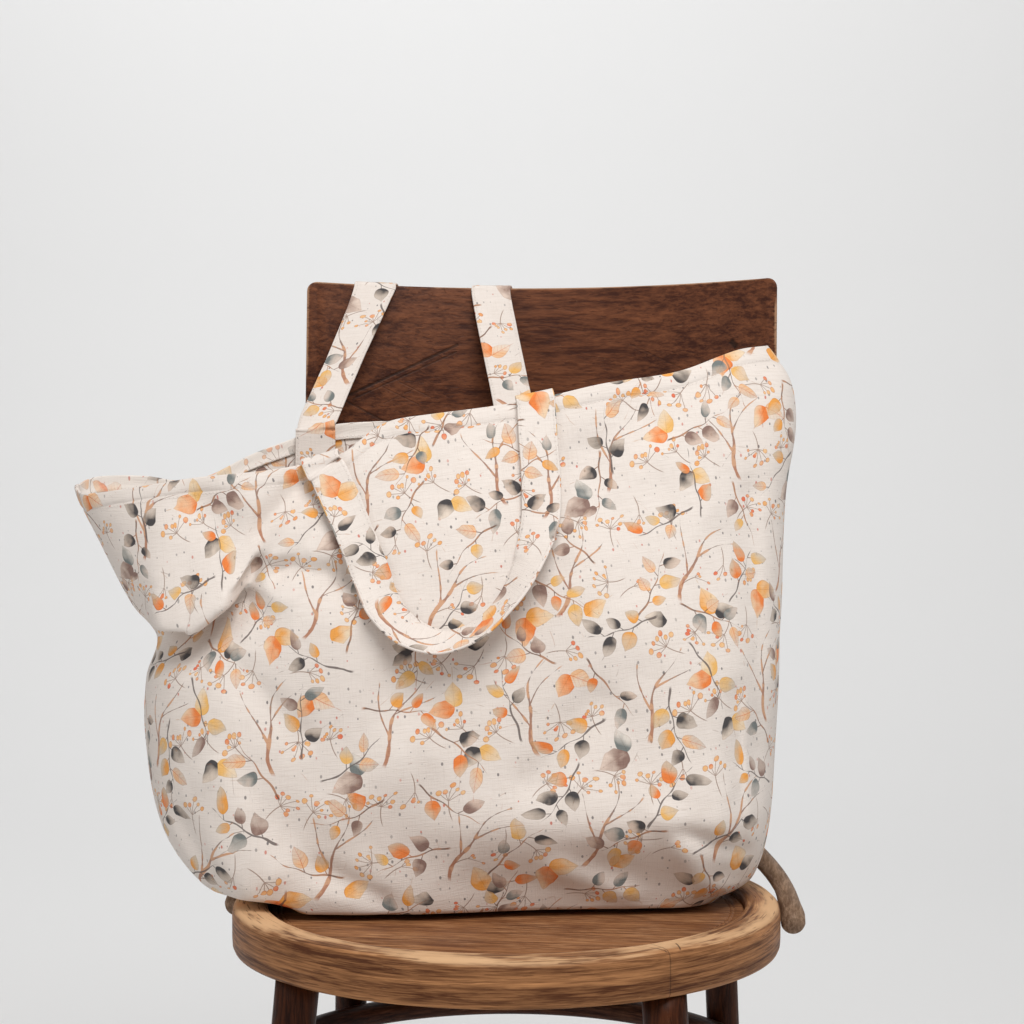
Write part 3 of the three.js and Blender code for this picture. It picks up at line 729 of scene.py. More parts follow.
def build_print():
    """The whole print on the cloth's own colour, from a place on the cloth in metres."""
    takes = dict(Place="Vector", Ground="Color", Strength="Float")
    tree, given = start_group("autumn print", takes, dict(Colour="Color"))
    place, colour, strength = given.values()
    grown = stretch(place, (1000, 1000, 1000))
    blot = step(noise(grown, 0.12, 1.5, 0.4), 0.3, 0.7)
    x, y, _ = split(grown)
    for size, least, ink in ((0.1, 0.4, (0.16, 0.145, 0.145)), (0.055, 0.55, (0.6, 0.17, 0.12))):
        entries = {"Scale": size, "Vector": stretch(grown, (1.3, 0.85, 1))}
        dots = node(tree, "TexVoronoi", entries, voronoi_dimensions="2D")
        spread, chosen, faded = split(dots["Color"], "Color")
        off = dots["Distance"] - (spread * (size * 0.95) + size * 0.25)
        speck = step(off, size * 0.2, -size * 0.3) * (chosen > least)
        colour = blend(speck * (faded * 0.5 + 0.4), colour, ink)
    for group, shift_x, shift_y, seed in LAYERS:
        motif = node(tree, "Group", dict(X=x + shift_x, Y=y + shift_y, Blot=blot, Seed=seed), node_tree=group)
        colour = blend(motif["Cover"] * strength, colour, motif["Colour"])
    return end_group(tree, Colour=colour)


def build_weave():
    """Height and tone of the linen: crossing threads, slubs and rows of stitches with painted shade between
    them, and the soft wrinkles under them.
    """
    gives = dict.fromkeys(("Height", "Tone", "Wrinkles"), "Float")
    tree, given = start_group("linen weave", dict.fromkeys(("Place", "Hem", "Where"), "Vector"), gives)
    place, hem, where = given.values()
    pinches = step(abs(noise(where, 14.0, 1.0, 0.4, 0.5) - 0.5), 0.0, 0.11)
    wrinkles = pinches * -0.06 + noise(where, 12.0, 1.5, 0.4, 0.5)
    across, up, _ = split(place)
    warp = calc("SINE", across * (2 * math.pi / 0.0009))
    weft = calc("SINE", up * (2 * math.pi / 0.0008))
    slub = step(noise(stretch(place, (60, 1500, 1)), 1.0, 2.0, 0.6), 0.42, 0.72)
    rise = step(noise(stretch(place, (1300, 50, 1)), 1.0, 1.0, 0.5), 0.45, 0.75)
    along, from_rim, _ = split(hem)
    row = step(abs(abs(from_rim) - STITCH_LINE * MM), 0.0006, 0.0003)
    dash = step(abs(calc("FRACT", along * (1 / 0.0034)) - 0.5), 0.44, 0.34)
    thread, hole = row * dash, row * (1.0 - dash)
    height = rise * 0.45 + (warp * weft * 0.22 + slub * 0.9)
    height = thread * 1.6 + (hole * -1.2 + height)
    # The gaps between stitches are darkened: painted shade in their dimples. Slubs and rises are the thread's
    # own tone.
    tone = hole * 0.9 + (slub * 0.5 + rise * 0.25)
    return end_group(tree, Height=height, Tone=tone, Wrinkles=wrinkles)


PRINT = build_print()
WEAVE = build_weave()


def linen(name, ground, strength):
    """Linen with its print at full strength on the face, and showing through on the reverse."""
    made, tree, shader, where = start_material(name, 0.88, 0.25)
    place, hem = (node(tree, "UVMap", {}, uv_map=layer)[0] for layer in ("cloth", "hem"))
    weave = node(tree, "Group", dict(Place=place, Hem=hem, Where=where), node_tree=WEAVE)
    cloud = step(noise(where, 9.0, 2.0, 0.5), 0.3, 0.7)
    base = blend(cloud, ground, tuple(0.955 * part for part in ground))
    printed = node(tree, "Group", dict(Place=place, Ground=base, Strength=strength), node_tree=PRINT)
    shade = blend(weave["Tone"] * 0.3, printed["Colour"], (0.62, 0.55, 0.48), "MULTIPLY")
    soft = bump(weave["Wrinkles"], 1.0, 0.0042)
    fine = bump(weave["Height"], 0.55, 0.00022, Normal=soft)
    fill(shader, {"Base Color": shade, "Sheen Weight": 0.12, "Sheen Roughness": 0.5, "Normal": fine})
    return made


linen_face = linen("printed linen", (0.83, 0.755, 0.698), 1.0)
# The reverse's ground is paler than the face's: painted light, for light that comes through the thin cloth
# into the bag.
linen_reverse_painted_lighter = linen("reverse of the linen painted lighter", (0.9, 0.835, 0.775), 0.72)

# Front of the bag: one cut piece of printed linen that hangs from its mouth and slumps on the seat.
# Its hem is turned in at the mouth and stitched down, and its sides and base are sewn to the back piece.
# The tables give the bag in its own frame: x to its right, y away from its front, z up from the hoop.
CLOTH = 1.1
HOOP_WIDTH = 26
SEAM_GAP = 0.6
BAG_TURN = math.radians(8)
BASE_SHARE = 0.14
END_RISE = 14
FOLD_FADE = 14
HEM_DEPTH = 13.0

# Level sections at heights z, with the seam's y, the depths and the widths of the rounded ends.
LEVEL_NAMES = ("z", "left", "right", "seam", "front", "back", "corner", "behind")
LEVELS = np.array(
    [
        (0, -203, 166, 30, 80, 79, 46, 100),
        (12, -231, 185, 31, 83, 79, 56, 120),
        (50, -260, 198, 38, 88, 76, 66, 110),
        (115, -274, 204, 47, 93, 74, 78, 100),
        (160, -274, 207, 53, 93, 74, 86, 100),
        (190, -267, 208, 58, 92, 74, 96, 104),
        (215, -287, 210, 61, 89, 74, 112, 116),
        (260, -312, 212, 67, 82, 74, 140, 140),
        (302, -333, 215, 73, 74, 73, 172, 172),
        (351, -340, 223, 79, 64, 71, 196, 196),
        (386, -344, 219, 82, 56, 66, 200, 200),
        (412, -346, 202, 84, 50, 60, 200, 200),
    ],
    float,
)
# The height of the mouth's rim along x, in front and behind.
FRONT_RIM = np.array(
    [(-333, 303), (-329, 299), (-319, 297), (-288, 301), (-259, 306), (-231, 310), (-164, 317.5), (-123, 328),
     (-93, 350), (-59, 357.5), (10, 367), (68, 379.5), (128, 390), (177, 408), (202, 412)], float,
)
BACK_RIM = np.array(
    [(-333, 303), (-330, 306), (-320, 309), (-288, 309), (-262, 305), (-240, 309), (-208, 325.5), (-176, 338),
     (-140, 350.5), (-60, 354), (20, 357), (90, 371), (160, 398), (202, 412)], float,
)

# Folds: from x, z to x, z, how far each stands out, its width above and below, and its sag.
FOLDS = [
    (-256, 218, -228, 219, 18, 26, 8, 18),
    (-228, 219, -203, 238, 19, 24, 8, 21),
    (-203, 238, -196, 256, 15, 18, 8, 17),
    (-266, 201, -228, 205, -25, 8, 24, 0),
    (-228, 205, -198, 228, -27, 8, 22, 0),
    (-198, 228, -187, 248, -20, 8, 14, 0),
    (-186, 247, -120, 241, -10, 10, 14, 0),
    (-150, 306, -192, 262, -11, 12, 21, 0),
    (-230, 292, -196, 268, -7, 16, 20, 0),
    (-150, 284, -176, 248, 6, 10, 10, 0),
    (-128, 262, -160, 226, 6, 12, 22, 0),
    (-150, 208, -96, 196, 7, 26, 40, 0),
    (186, 296, 186, 60, -6, 9, 12, 0),
    (169, 150, 170, 48, -5, 6, 9, 0),
    (116, 66, 140, 22, 6, 11, 11, 0),
    (140, 22, 166, 9, 5, 8, 8, 0),
    (132, 56, 168, 44, -6, 7, 8, 0),
    (60, 330, 96, 236, -5, 20, 26, 0),
    (66, 150, 20, 92, -5, 18, 24, 0),
    (-206, 96, -168, 30, 6, 14, 20, 0),
    (-236, 60, -206, 16, -6, 9, 10, 0),
    (-60, 120, -128, 70, 5, 20, 26, 0),
    (-190, 170, -150, 128, -5, 12, 16, 0),
    (40, 30, 84, 12, 5, 10, 10, 0),
    (-130, 30, -90, 10, -5, 9, 10, 0),
    (120, 330, 150, 290, 5, 14, 16, 0),
]


def look_up(keys, values, at):
    """A smooth curve through a table's rows, read at many places at once."""
    t = np.clip(at, keys[0], keys[-1])
    i = np.clip(np.searchsorted(keys, t, side="left") - 1, 0, len(keys) - 2)
    before, after = np.maximum(i - 1, 0), np.minimum(i + 2, len(keys) - 1)
    span = keys[i + 1] - keys[i]
    share = (t - keys[i]) / span
    slope_a = (values[i + 1] - values[before]) / (keys[i + 1] - keys[before]) * span
    slope_b = (values[after] - values[i]) / (keys[after] - keys[i]) * span
    s2, s3 = share**2, share**3
    return (
        values[i] * (2 * s3 - 3 * s2 + 1) + slope_a * (s3 - 2 * s2 + share)
        + values[i + 1] * (3 * s2 - 2 * s3) + slope_b * (s3 - s2)
    )


def level_at(side, z):
    """The bag's level section at a height, as columns by name."""
    row = {name: look_up(LEVELS[:, 0], LEVELS[:, k], z) for k, name in enumerate(LEVEL_NAMES) if k}
    row["depth"] = row["front"] if side < 0 else row["back"]
    row["end"] = row["corner"] if side < 0 else row["behind"]
    return row


def section_x(row, share):
    """Where along a section a share of its length lies; its rounded ends are quarter ellipses."""
    arc = math.pi / 2 * np.sqrt((row["end"] ** 2 + row["depth"] ** 2) / 2)
    flat = row["right"] - row["left"] - 2 * row["end"]
    along = share * (2 * arc + flat)
    back = 2 * arc + flat - along
    start = row["left"] + row["end"] * (1 - np.cos(along / arc * math.pi / 2))
    finish = row["right"] - row["end"] * (1 - np.cos(back / arc * math.pi / 2))
    level_part = row["left"] + row["end"] + along - arc
    return np.where(along < arc, start, np.where(along < arc + flat, level_part, finish))


def smooth(value, start, end):
    t = np.clip((value - start) / (end - start), 0, 1)
    return t * t * (3 - 2 * t)


def fold_at(fold, x, z):
    """How strongly a fold acts at a place."""
    from_x, from_z, to_x, to_z, _, above, below, _ = fold
    dx, dz = to_x - from_x, to_z - from_z
    length = math.hypot(dx, dz)
    along = ((x - from_x) * dx + (z - from_z) * dz) / length
    across = ((z - from_z) * dx - (x - from_x) * dz) / length * (-1 if dx < 0 else 1)
    beyond = np.maximum(0, np.maximum(-along, along - length))
    return np.exp(-((across / np.where(across > 0, above, below)) ** 2) - (beyond / FOLD_FADE) ** 2)


def stand_off(side, x, z):
    """How far the cloth stands off the plane of the seams."""
    row = level_at(side, z)
    inset = np.minimum(x - row["left"], row["right"] - x) / row["end"]
    bend = np.where(inset >= 1, 1.0, np.sqrt(np.maximum(0, 1 - (1 - np.clip(inset, 0, 1)) ** 2)))
    across = np.clip((x - row["left"]) / (row["right"] - row["left"]), 0, 1)
    out = row["depth"] * bend + 9 * np.sin(math.pi * across) ** 2
    if side < 0:
        effects = np.array([fold[4] * fold_at(fold, x, z) for fold in FOLDS]) * smooth(inset, 0, 0.35)
        out = out + np.maximum(0, effects.max(0)) + np.minimum(0, effects.min(0))
    return out


def surface_y(side, x, z):
    return look_up(LEVELS[:, 0], LEVELS[:, 3], z) + side * stand_off(side, x, z)


def rim_height(side, x):
    rim = FRONT_RIM if side < 0 else BACK_RIM
    return look_up(rim[:, 0], rim[:, 1], x)


def rest_height(x, y):
    """The height at which the cloth lies on the seat panel, or over the hoop round it."""
    inner = HOOP_RADIUS - HOOP_WIDTH
    share = smooth(np.hypot(x, y), inner - 26, inner - 8)
    return (PANEL_TOP + 0.4 + CLOTH / 2) * (1 - share) + (0.9 + CLOTH / 2) * share


def panel_place(side, across, up):
    """A place on a panel: across from the left seam to the right one, up from the seam under the base."""
    share = np.minimum(up / BASE_SHARE, 1)
    rise = np.maximum(0, (up - BASE_SHARE) / (1 - BASE_SHARE))
    end_rise = END_RISE * np.abs(2 * across - 1) ** 14 * share
    foot = level_at(side, end_rise)
    foot_x = section_x(foot, across)
    foot_y = foot["seam"] + side * stand_off(side, foot_x, end_rise) * share
    start = rest_height(foot_x, foot_y) + end_rise + 5 * share**5
    x, z = foot_x, start
    for _ in range(12):
        z = start + rise * (rim_height(side, x) - start)
        x = section_x(level_at(side, np.maximum(z, end_rise)), across)
    y = surface_y(side, x, np.maximum(z, end_rise)) + side * SEAM_GAP / 2
    sag = np.zeros_like(x)
    if side < 0:
        sag = np.array([fold[7] * fold_at(fold, x, z) for fold in FOLDS]).max(0) * smooth(across, 0, 0.05)
    low_part = rise <= 0
    x = np.where(low_part, foot_x, x)
    y = np.where(low_part, foot_y + side * SEAM_GAP / 2, y)
    z = np.where(low_part, start, z - sag)
    return np.stack([x, y, z], -1)


def outward(points):
    """The way off a grid of points, from its neighbours."""
    along = np.gradient(points, axis=1)
    upward = np.gradient(points, axis=0)
    normal = np.cross(along, upward)
    return normal / np.maximum(np.linalg.norm(normal, axis=-1, keepdims=True), 1e-9)


def grid_lengths(points, axis):
    """How far along the cloth each point of a grid lies, in that direction."""
    gaps = np.linalg.norm(np.diff(points, axis=axis), axis=-1)
    zero = np.zeros_like(np.take(gaps, [0], axis=axis))
    return np.cumsum(np.concatenate([zero, gaps], axis=axis), axis=axis)


def to_part(points):
    """From the bag's frame in millimetres to the part's in metres."""
    c, s = math.cos(BAG_TURN), math.sin(BAG_TURN)
    x, y, z = points[..., 0], points[..., 1], points[..., 2]
    return np.stack([x * c - y * s, x * s + y * c, z], -1) * MM + np.array(SEAT)


def creases(side, x, z):
    """Soft unevenness of washed linen, in millimetres: broad waves, and finer ones that run aslant."""
    phase = 0.0 if side < 0 else 2.1
    broad = np.sin(x / 41 + z / 63 + phase) * np.sin(z / 47 - x / 90 + 1.3 * phase)
    slant = np.sin((x * 0.8 + z * 0.5) / 17 + 1.7 * np.sin(z / 55 + phase)) * np.sin(z / 38 + x / 71 + phase)
    fine = np.sin((x * 0.4 - z) / 7.3 + 2 * np.sin(x / 33)) * np.sin(x / 19 + z / 29 + phase)
    return 1.9 * broad + 0.8 * slant + 0.2 * fine


def laid_flat(points, along, upward):
    """The places of a draped grid on the flat cut cloth: its triangles laid in a plane with little strain."""
    rows = np.unique(np.append(np.arange(0, points.shape[0] - 3, 6), points.shape[0] - 1))
    columns = np.unique(np.append(np.arange(0, points.shape[1] - 3, 6), points.shape[1] - 1))
    knots, s, t = (grid[rows][:, columns] for grid in (points, along, upward))
    over, rise = np.diff(knots, axis=1), np.diff(knots, axis=0)
    weft, warp = np.diff(s, axis=1), np.diff(t, axis=0)
    number = np.arange(s.size).reshape(s.shape)
    edges = []
    start, end = slice(None, -1), slice(1, None)
    for here, other in ((start, end), (end, start)):
        lengths = np.linalg.norm(over[here], axis=-1) * np.linalg.norm(rise[:, here], axis=-1)
        lean = np.clip((over[here] * rise[:, here]).sum(-1) / lengths, -0.85, 0.85)
        sign = 1 if here is start else -1
        first = sign * weft[here] + 0j
        second = sign * warp[:, here] * (lean + 1j * np.sqrt(1 - lean**2))
        size = np.abs((first.conjugate() * second).imag) / 2
        places = (here, here), (here, other), (other, here)
        for i, j, edge in ((0, 1, first), (0, 2, second), (1, 2, second - first)):
            edges.append((places[i], places[j], edge, size / np.abs(edge) ** 2))
    pull = np.zeros((s.size, s.size))
    for i, j, edge, weight in edges:
        a, b = number[i].ravel(), number[j].ravel()
        np.add.at(pull, (a, a), weight.ravel())
        np.add.at(pull, (b, b), weight.ravel())
        np.add.at(pull, (a, b), -weight.ravel())
        np.add.at(pull, (b, a), -weight.ravel())
    pull[0, 0] += 1
    answer = np.linalg.inv(pull)
    flat = (s - s[:, [s.shape[1] // 2]]) + 1j * t
    for _ in range(40):
        wish = np.zeros_like(flat)
        for half in (edges[:3], edges[3:]):
            turn = sum(weight * edge.conjugate() * (flat[j] - flat[i]) for i, j, edge, weight in half)
            turn = turn / np.maximum(np.abs(turn), 1e-9)
            for i, j, edge, weight in half:
                wish[j] += weight * turn * edge
                wish[i] -= weight * turn * edge
        moved = answer @ np.stack([wish.real.ravel(), wish.imag.ravel()], -1)
        flat = (moved[:, 0] + 1j * moved[:, 1]).reshape(s.shape)
    middle = s.shape[1] // 2
    up_way = flat[-1, middle] - flat[0, middle]
    flat = (flat - flat[0, middle]) * 1j * up_way.conjugate() / abs(up_way)
    every_column, every_row = np.arange(points.shape[1]), np.arange(points.shape[0])
    full = []
    for part in (flat.real, flat.imag - flat.imag.min()):
        wide = np.array([np.interp(every_column, columns, line) for line in part])
        full.append(np.array([np.interp(every_row, rows, line) for line in wide.T]).T)
    return full


# Where the handles lie close to the cloth, so that no crease stands up under them: x and z.
LOOP_PLACES = np.array(
    [(-137, 330), (-137, 310), (-132, 316), (-122, 296), (-109, 268), (-99, 244), (-89, 221), (-72, 203),
     (-47, 195), (-22, 203), (0, 224), (15, 250), (24, 279), (25, 308), (23, 340), (21, 370)], float,
)
BACK_ENDS = np.array([(-153, 350), (-153, 325), (6, 358), (6, 332)], float)


def cloth_mesh(places, cloth, hem):
    """A mesh from a grid of places, with the print's and the hem's coordinates in millimetres."""
    high, wide = places.shape[0] - 1, places.shape[1] - 1
    mesh = bmesh.new()
    bmesh.ops.create_grid(mesh, x_segments=wide, y_segments=high, size=1)
    for name in ("cloth", "hem"):
        mesh.loops.layers.uv.new(name)
    cloth_uv, hem_uv = mesh.loops.layers.uv["cloth"], mesh.loops.layers.uv["hem"]
    spots = {v: (round((v.co.y + 1) / 2 * high), round((v.co.x + 1) / 2 * wide)) for v in mesh.verts}
    for vert, spot in spots.items():
        vert.co = places[spot]
    for face in mesh.faces:
        for loop in face.loops:
            loop[cloth_uv].uv = cloth[spots[loop.vert]] * MM
            loop[hem_uv].uv = hem[spots[loop.vert]] * MM
    return mesh


def panel_rows(tall, rows):
    """How far up each point of each column lies: closer where the folds are, and at the hem."""
    hem_rows = np.array([17, 15, 14, 13, 12, 11, 9, 6.5, 4, 2, 0.8, 0.0])
    even = np.linspace(0, 1, 400)
    close = np.cumsum(1 + 1.7 * np.exp(-(((even - 0.71) / 0.09) ** 2)))
    close = (close - close[0]) / (close[-1] - close[0])
    body = np.interp(np.linspace(0, 1, rows - len(hem_rows) - 8), close, even)
    body = body[:, None] * (1 - (hem_rows[0] + 3) / tall)[None, :]
    return np.concatenate([body, 1 - hem_rows[:, None] / tall[None, :]])


def drape(side, across, up, tall):
    """Where the points of a panel lie, and the way off the cloth at each."""
    x_all = across[None, :] + 0 * up
    points = panel_place(side, x_all, up)
    if side < 0:
        inner = smooth(np.minimum(x_all, 1 - x_all), 0.01, 0.12)
        foot = (1 - smooth(points[..., 2], 2, 70)) * smooth(up, BASE_SHARE * 0.3, BASE_SHARE * 0.95)
        belly = smooth(points[..., 0], -130, 0) * np.exp(-(((points[..., 2] - 64) / 36) ** 2))
        tucked = 23 * smooth(points[..., 0], -115, 40) - 4
        points[..., 1] += (tucked * foot - 9 * belly) * inner
    away = outward(points)
    if away[len(points) // 2, points.shape[1] // 2, 1] * side < 0:
        away = -away
    edge = np.minimum(across, 1 - across)[None, :] * (points[-1, -1, 0] - points[-1, 0, 0])
    settle = smooth(up, 0.10, 0.3) * smooth(edge, 4, 60)
    strap = LOOP_PLACES if side < 0 else BACK_ENDS
    gap = np.hypot(points[..., 0, None] - strap[:, 0], points[..., 2, None] - strap[:, 1]).min(-1)
    pressed = 1 - smooth(gap, 18, 42)
    push = creases(side, points[..., 0], points[..., 2]) * settle * (1 - pressed) - 0.3 * pressed * settle
    from_rim = (1 - up) * tall[None, :]
    swell = 0.55 * np.exp(-(((from_rim - 6) / 5) ** 4))
    push += swell - 0.5 * np.exp(-(((from_rim - STITCH_LINE) / 1.1) ** 2))
    push -= 1.0 * np.exp(-((edge / 4) ** 2)) * smooth(up, 0.05, 0.2)
    return points + away * push[..., None], away


def hem_inside(points, away, up, tall):
    """The rows of the hem: over the rim, and down inside the cloth to which it is stitched."""
    rows = []
    for turn in (35, 90, 145, 180):
        a = math.radians(turn)
        rows.append(points[-1] + np.array((0, 0, 1)) * 0.8 * math.sin(a) - away[-1] * 0.8 * (1 - math.cos(a)))
    columns = np.arange(len(tall))
    for depth in (3, 6, 9, HEM_DEPTH - 1, HEM_DEPTH):
        share = 1 - depth / tall
        line = np.array([[np.interp(share[c], up[:, c], points[:, c, d]) for d in range(3)] for c in columns])
        near = np.argmin(np.abs(up - share[None, :]), axis=0)
        rows.append(line - away[near, columns] * (1.6 - 0.3 * (depth >= HEM_DEPTH - 1)))
    return np.array(rows)


def sew_panel(name, cad_node, side, columns, rows):
    """A panel from a flat grid: draped over the bag's shape, with its hem turned in at the mouth."""
    ends = np.array([0, 0.0025, 0.006, 0.011])
    across = np.concatenate([ends, np.linspace(0.018, 0.982, columns - 2 * len(ends) + 1), 1 - ends[::-1]])
    rim_way = panel_place(side, across[None, :], np.linspace(0, 1, 60)[:, None] + 0 * across[None, :])
    tall = grid_lengths(rim_way, 0)[-1]
    up = panel_rows(tall, rows)
    points, away = drape(side, across, up, tall)
    points = np.concatenate([points, hem_inside(points, away, up, tall)])
    down = grid_lengths(points, 0)
    u, v = laid_flat(points, grid_lengths(points, 1), down)
    rim_row = len(up) - 1
    mesh = cloth_mesh(to_part(points), np.stack([u, v], -1), np.stack([u, down[rim_row] - down], -1))
    mesh.faces.ensure_lookup_table()
    face = mesh.faces[len(mesh.faces) // 2]
    face.normal_update()
    if face.normal.y * side < 0:
        bmesh.ops.reverse_faces(mesh, faces=mesh.faces)
    piece = new_piece(name, mesh, linen_face, cad_node)
    piece.data.materials.append(linen_reverse_painted_lighter)
    thick = piece.modifiers.new("cloth", "SOLIDIFY")
    thick.thickness = CLOTH * MM
    thick.offset = 0
    thick.material_offset = 1
    spread = np.cross(points[1:, 1:] - points[:-1, :-1], points[1:, :-1] - points[:-1, 1:])


sew_panel("front_panel", "bag_front", -1, 204, 196)

# Back of the bag: cut as the front is, and sewn to it at both sides and under the base. It stands
# against the backrest, and its printed reverse shows inside the mouth.
sew_panel("back_panel", "bag_back", 1, 150, 110)

# Front handle: a strip of the same linen folded into a flat strap and stitched along both edges. Its two
# ends are sewn inside the mouth, and the loop droops in front of the bag with a slight twist.
STRAP_WIDTH = 31.0
STRAP_THICKNESS = 2.1
SEWN_LENGTH = 34.0
SEWN_INSIDE = 6.0
RIM_RISE = 5.1
EDGE_STITCH = 2.2
EDGE_ROUND = 0.9
# The loop: x, z, how far it stands off the cloth, the lean of its width and its twist, in degrees.
FRONT_LOOP = [
    (-132, 316, 7.4, 14, 8), (-122, 296, 7.4, 22, 14), (-109, 268, 8.2, 25, 18), (-99, 244, 8.5, 22, 20),
    (-89, 221, 10, 28, 28), (-72, 203, 12.5, 50, 42), (-47, 195, 15.5, 80, 58), (-22, 203, 17, 112, 66),
    (0, 224, 16.5, 142, 64), (15, 250, 13.5, 162, 46), (24, 279, 8.5, 176, 18), (25, 308, 6, 180, 4),
    (23, 340, 6, 180, 0),
]


def width_from(lean, twist, slope):
    """Which way a strap's width points: up at a lean, on a slope, and twisted off the cloth."""
    a, b = math.radians(lean), math.radians(twist)
    width = np.array((math.cos(a), slope, math.sin(a)))
    return width / np.linalg.norm(width) * math.cos(b) + np.array((0, math.sin(b), 0))


def height_on(side, x, z):
    return float(surface_y(side, np.array(float(x)), np.array(float(z))))


def surface_slope(side, x, z, lean):
    reach = STRAP_WIDTH / 3
    dx, dz = reach * math.cos(math.radians(lean)), reach * math.sin(math.radians(lean))
    return (height_on(side, x + dx, z + dz) - height_on(side, x - dx, z - dz)) / (2 * reach)


def sewn_end(side, x, way):
    """Stations of a sewn end, square to the rim, from its tip inside the mouth to just over the rim."""
    half = STRAP_WIDTH / 2
    at, before, after = (float(rim_height(side, x + off)) for off in (0, -half, half))
    lean = math.degrees(math.atan2(after - before, STRAP_WIDTH))
    aside = math.tan(math.radians(lean)) if side < 0 else 0.0
    rows = []
    for drop in (SEWN_LENGTH, SEWN_LENGTH * 0.66, SEWN_LENGTH * 0.33, 1):
        z, over = at - drop, x + aside * drop
        width = width_from(lean, 0, surface_slope(side, over, z, lean)) * way
        rows.append((np.array((over, height_on(side, over, z) - side * SEWN_INSIDE, z)), width))
    for inward, rise in ((5.6, 2.6), (0, RIM_RISE)):
        place = np.array((x - aside * rise, height_on(side, x, at) - side * inward, at + rise))
        rows.append((place, rows[-1][1]))
    return rows


def sew_strap(name, cad_node, stations, wide, steps, around):
    """A flat closed strap along stations, each a place and the way of its width, longer where cut aslant."""
    points = [row[0] for row in stations]
    last = len(stations) - 1
    half, thick = wide / 2, STRAP_THICKNESS / 2
    level = half - EDGE_ROUND
    over = [(level * w, thick * (0.86 + 0.14 * abs(w) ** 3)) for w in np.linspace(-1, 1, around)]
    corners = (math.pi / 4, math.pi / 2, 3 * math.pi / 4)
    bend = [(level + EDGE_ROUND * math.sin(a), thick * math.cos(a)) for a in corners]
    ring = over + bend + [(w, -h) for w, h in reversed(over)] + [(-w, h) for w, h in reversed(bend)]
    ring = np.array(ring + ring[:1])
    round_way = np.concatenate([[0], np.cumsum(np.linalg.norm(np.diff(ring, axis=0), axis=-1))])
    w, h = ring[:, 0], ring[:, 1]
    rows, prints, seams = [], [], []
    length, before = 0.0, points[0]
    for share in np.arange(steps + 1) / steps:
        i = min(int(share * last), last - 1)
        local = share * last - i
        place, ahead = smooth_path(points, share), smooth_way(points, share)
        width = stations[i][1] * (1 - local) + stations[i + 1][1] * local
        size = float(np.linalg.norm(width))
        square = width - ahead * np.dot(width, ahead)
        square = square / np.linalg.norm(square)
        face_way = np.cross(ahead, square)
        aslant = min(max((size - 1) / 0.025, 0), 1)
        width = square * (1 - aslant) + width * aslant
        length += float(np.linalg.norm(place - before))
        before = place
        ripple = 0.35 * math.sin(length / 9.0) * math.sin(length / 23.0 + 1)
        lift = h + ripple * (w / half) ** 3 * 0.5
        rows.append(place + width * (w * (1 + 0.02 * ripple))[:, None] + face_way * lift[:, None])
        prints.append(np.stack([round_way + 40, 0 * w + length + 25], -1))
        seams.append(np.stack([0 * w + length, STITCH_LINE - EDGE_STITCH + half - np.abs(w)], -1))
    mesh = cloth_mesh(to_part(np.array(rows)), np.array(prints), np.array(seams))
    bmesh.ops.remove_doubles(mesh, verts=mesh.verts, dist=1e-6)
    bmesh.ops.holes_fill(mesh, edges=[edge for edge in mesh.edges if edge.is_boundary], sides=0)
    bmesh.ops.recalc_face_normals(mesh, faces=mesh.faces)
    piece = new_piece(name, mesh, linen_face, cad_node)
    length * MM


loop_rows = []
for x, z, lift, lean, twist in FRONT_LOOP:
    width = width_from(lean, twist, surface_slope(-1, x, z, lean))
    loop_rows.append((np.array((x, height_on(-1, x, z) - lift, z)), width))
LEFT_SEWN, RIGHT_SEWN = -137.0, 21.0
left_end, right_end = sewn_end(-1, LEFT_SEWN, 1), sewn_end(-1, RIGHT_SEWN, -1)[::-1]
shoulders = []
for x, row, near in ((LEFT_SEWN, left_end[-1], loop_rows[0]), (RIGHT_SEWN, right_end[0], loop_rows[-1])):
    rim = float(rim_height(-1, x))
    y = height_on(-1, x, rim)
    steep = 0.45 if x < 0 else 0.1
    below = (np.array((x + 4 * steep, y - 6.2, rim - 4)), (row[1] + near[1]) / 2)
    shoulders.append([(np.array((x - 2 * steep, y - 4.8, rim + 2)), row[1]), below])
front_way = left_end + shoulders[0] + loop_rows + shoulders[1][::-1] + right_end
sew_strap("front_handle_strap", "handle_front", front_way, 29, 260, 13)

# Back handle: the same strap, its ends sewn inside the back of the mouth, slung over the top of the
# backrest and lying flat on its edge.


def from_chair(x, y, z):
    """A place or a way given in the chair's frame, in the bag's."""
    c, s = math.cos(-BAG_TURN), math.sin(-BAG_TURN)
    return np.array((x * c - y * s, x * s + y * c, z), float)


def over_backrest(x, way):
    """Stations where the strap goes up the face, over the top edge and down behind."""
    off = 0.5 + STRAP_THICKNESS / 2
    half = STRAP_WIDTH / 2
    width = from_chair(2 * half, rest_y(x + half) - rest_y(x - half), rest_top(x + half) - rest_top(x - half))
    width = width / np.linalg.norm(width) * way * (1.09 if x < -100 else 1.03)
    rows = []
    bend = 0.7 * (off + 1.8)
    top = ((-off - 1.2, -3), (1.8 - bend, bend - 1.8), (2.5, off), (7.5, off), (8.2 + bend, bend - 1.8))
    for y, z in (*top, (10.6 + off, -3)):
        rows.append((from_chair(x, rest_y(x) + y, rest_top(x) + z), width))
    return rows


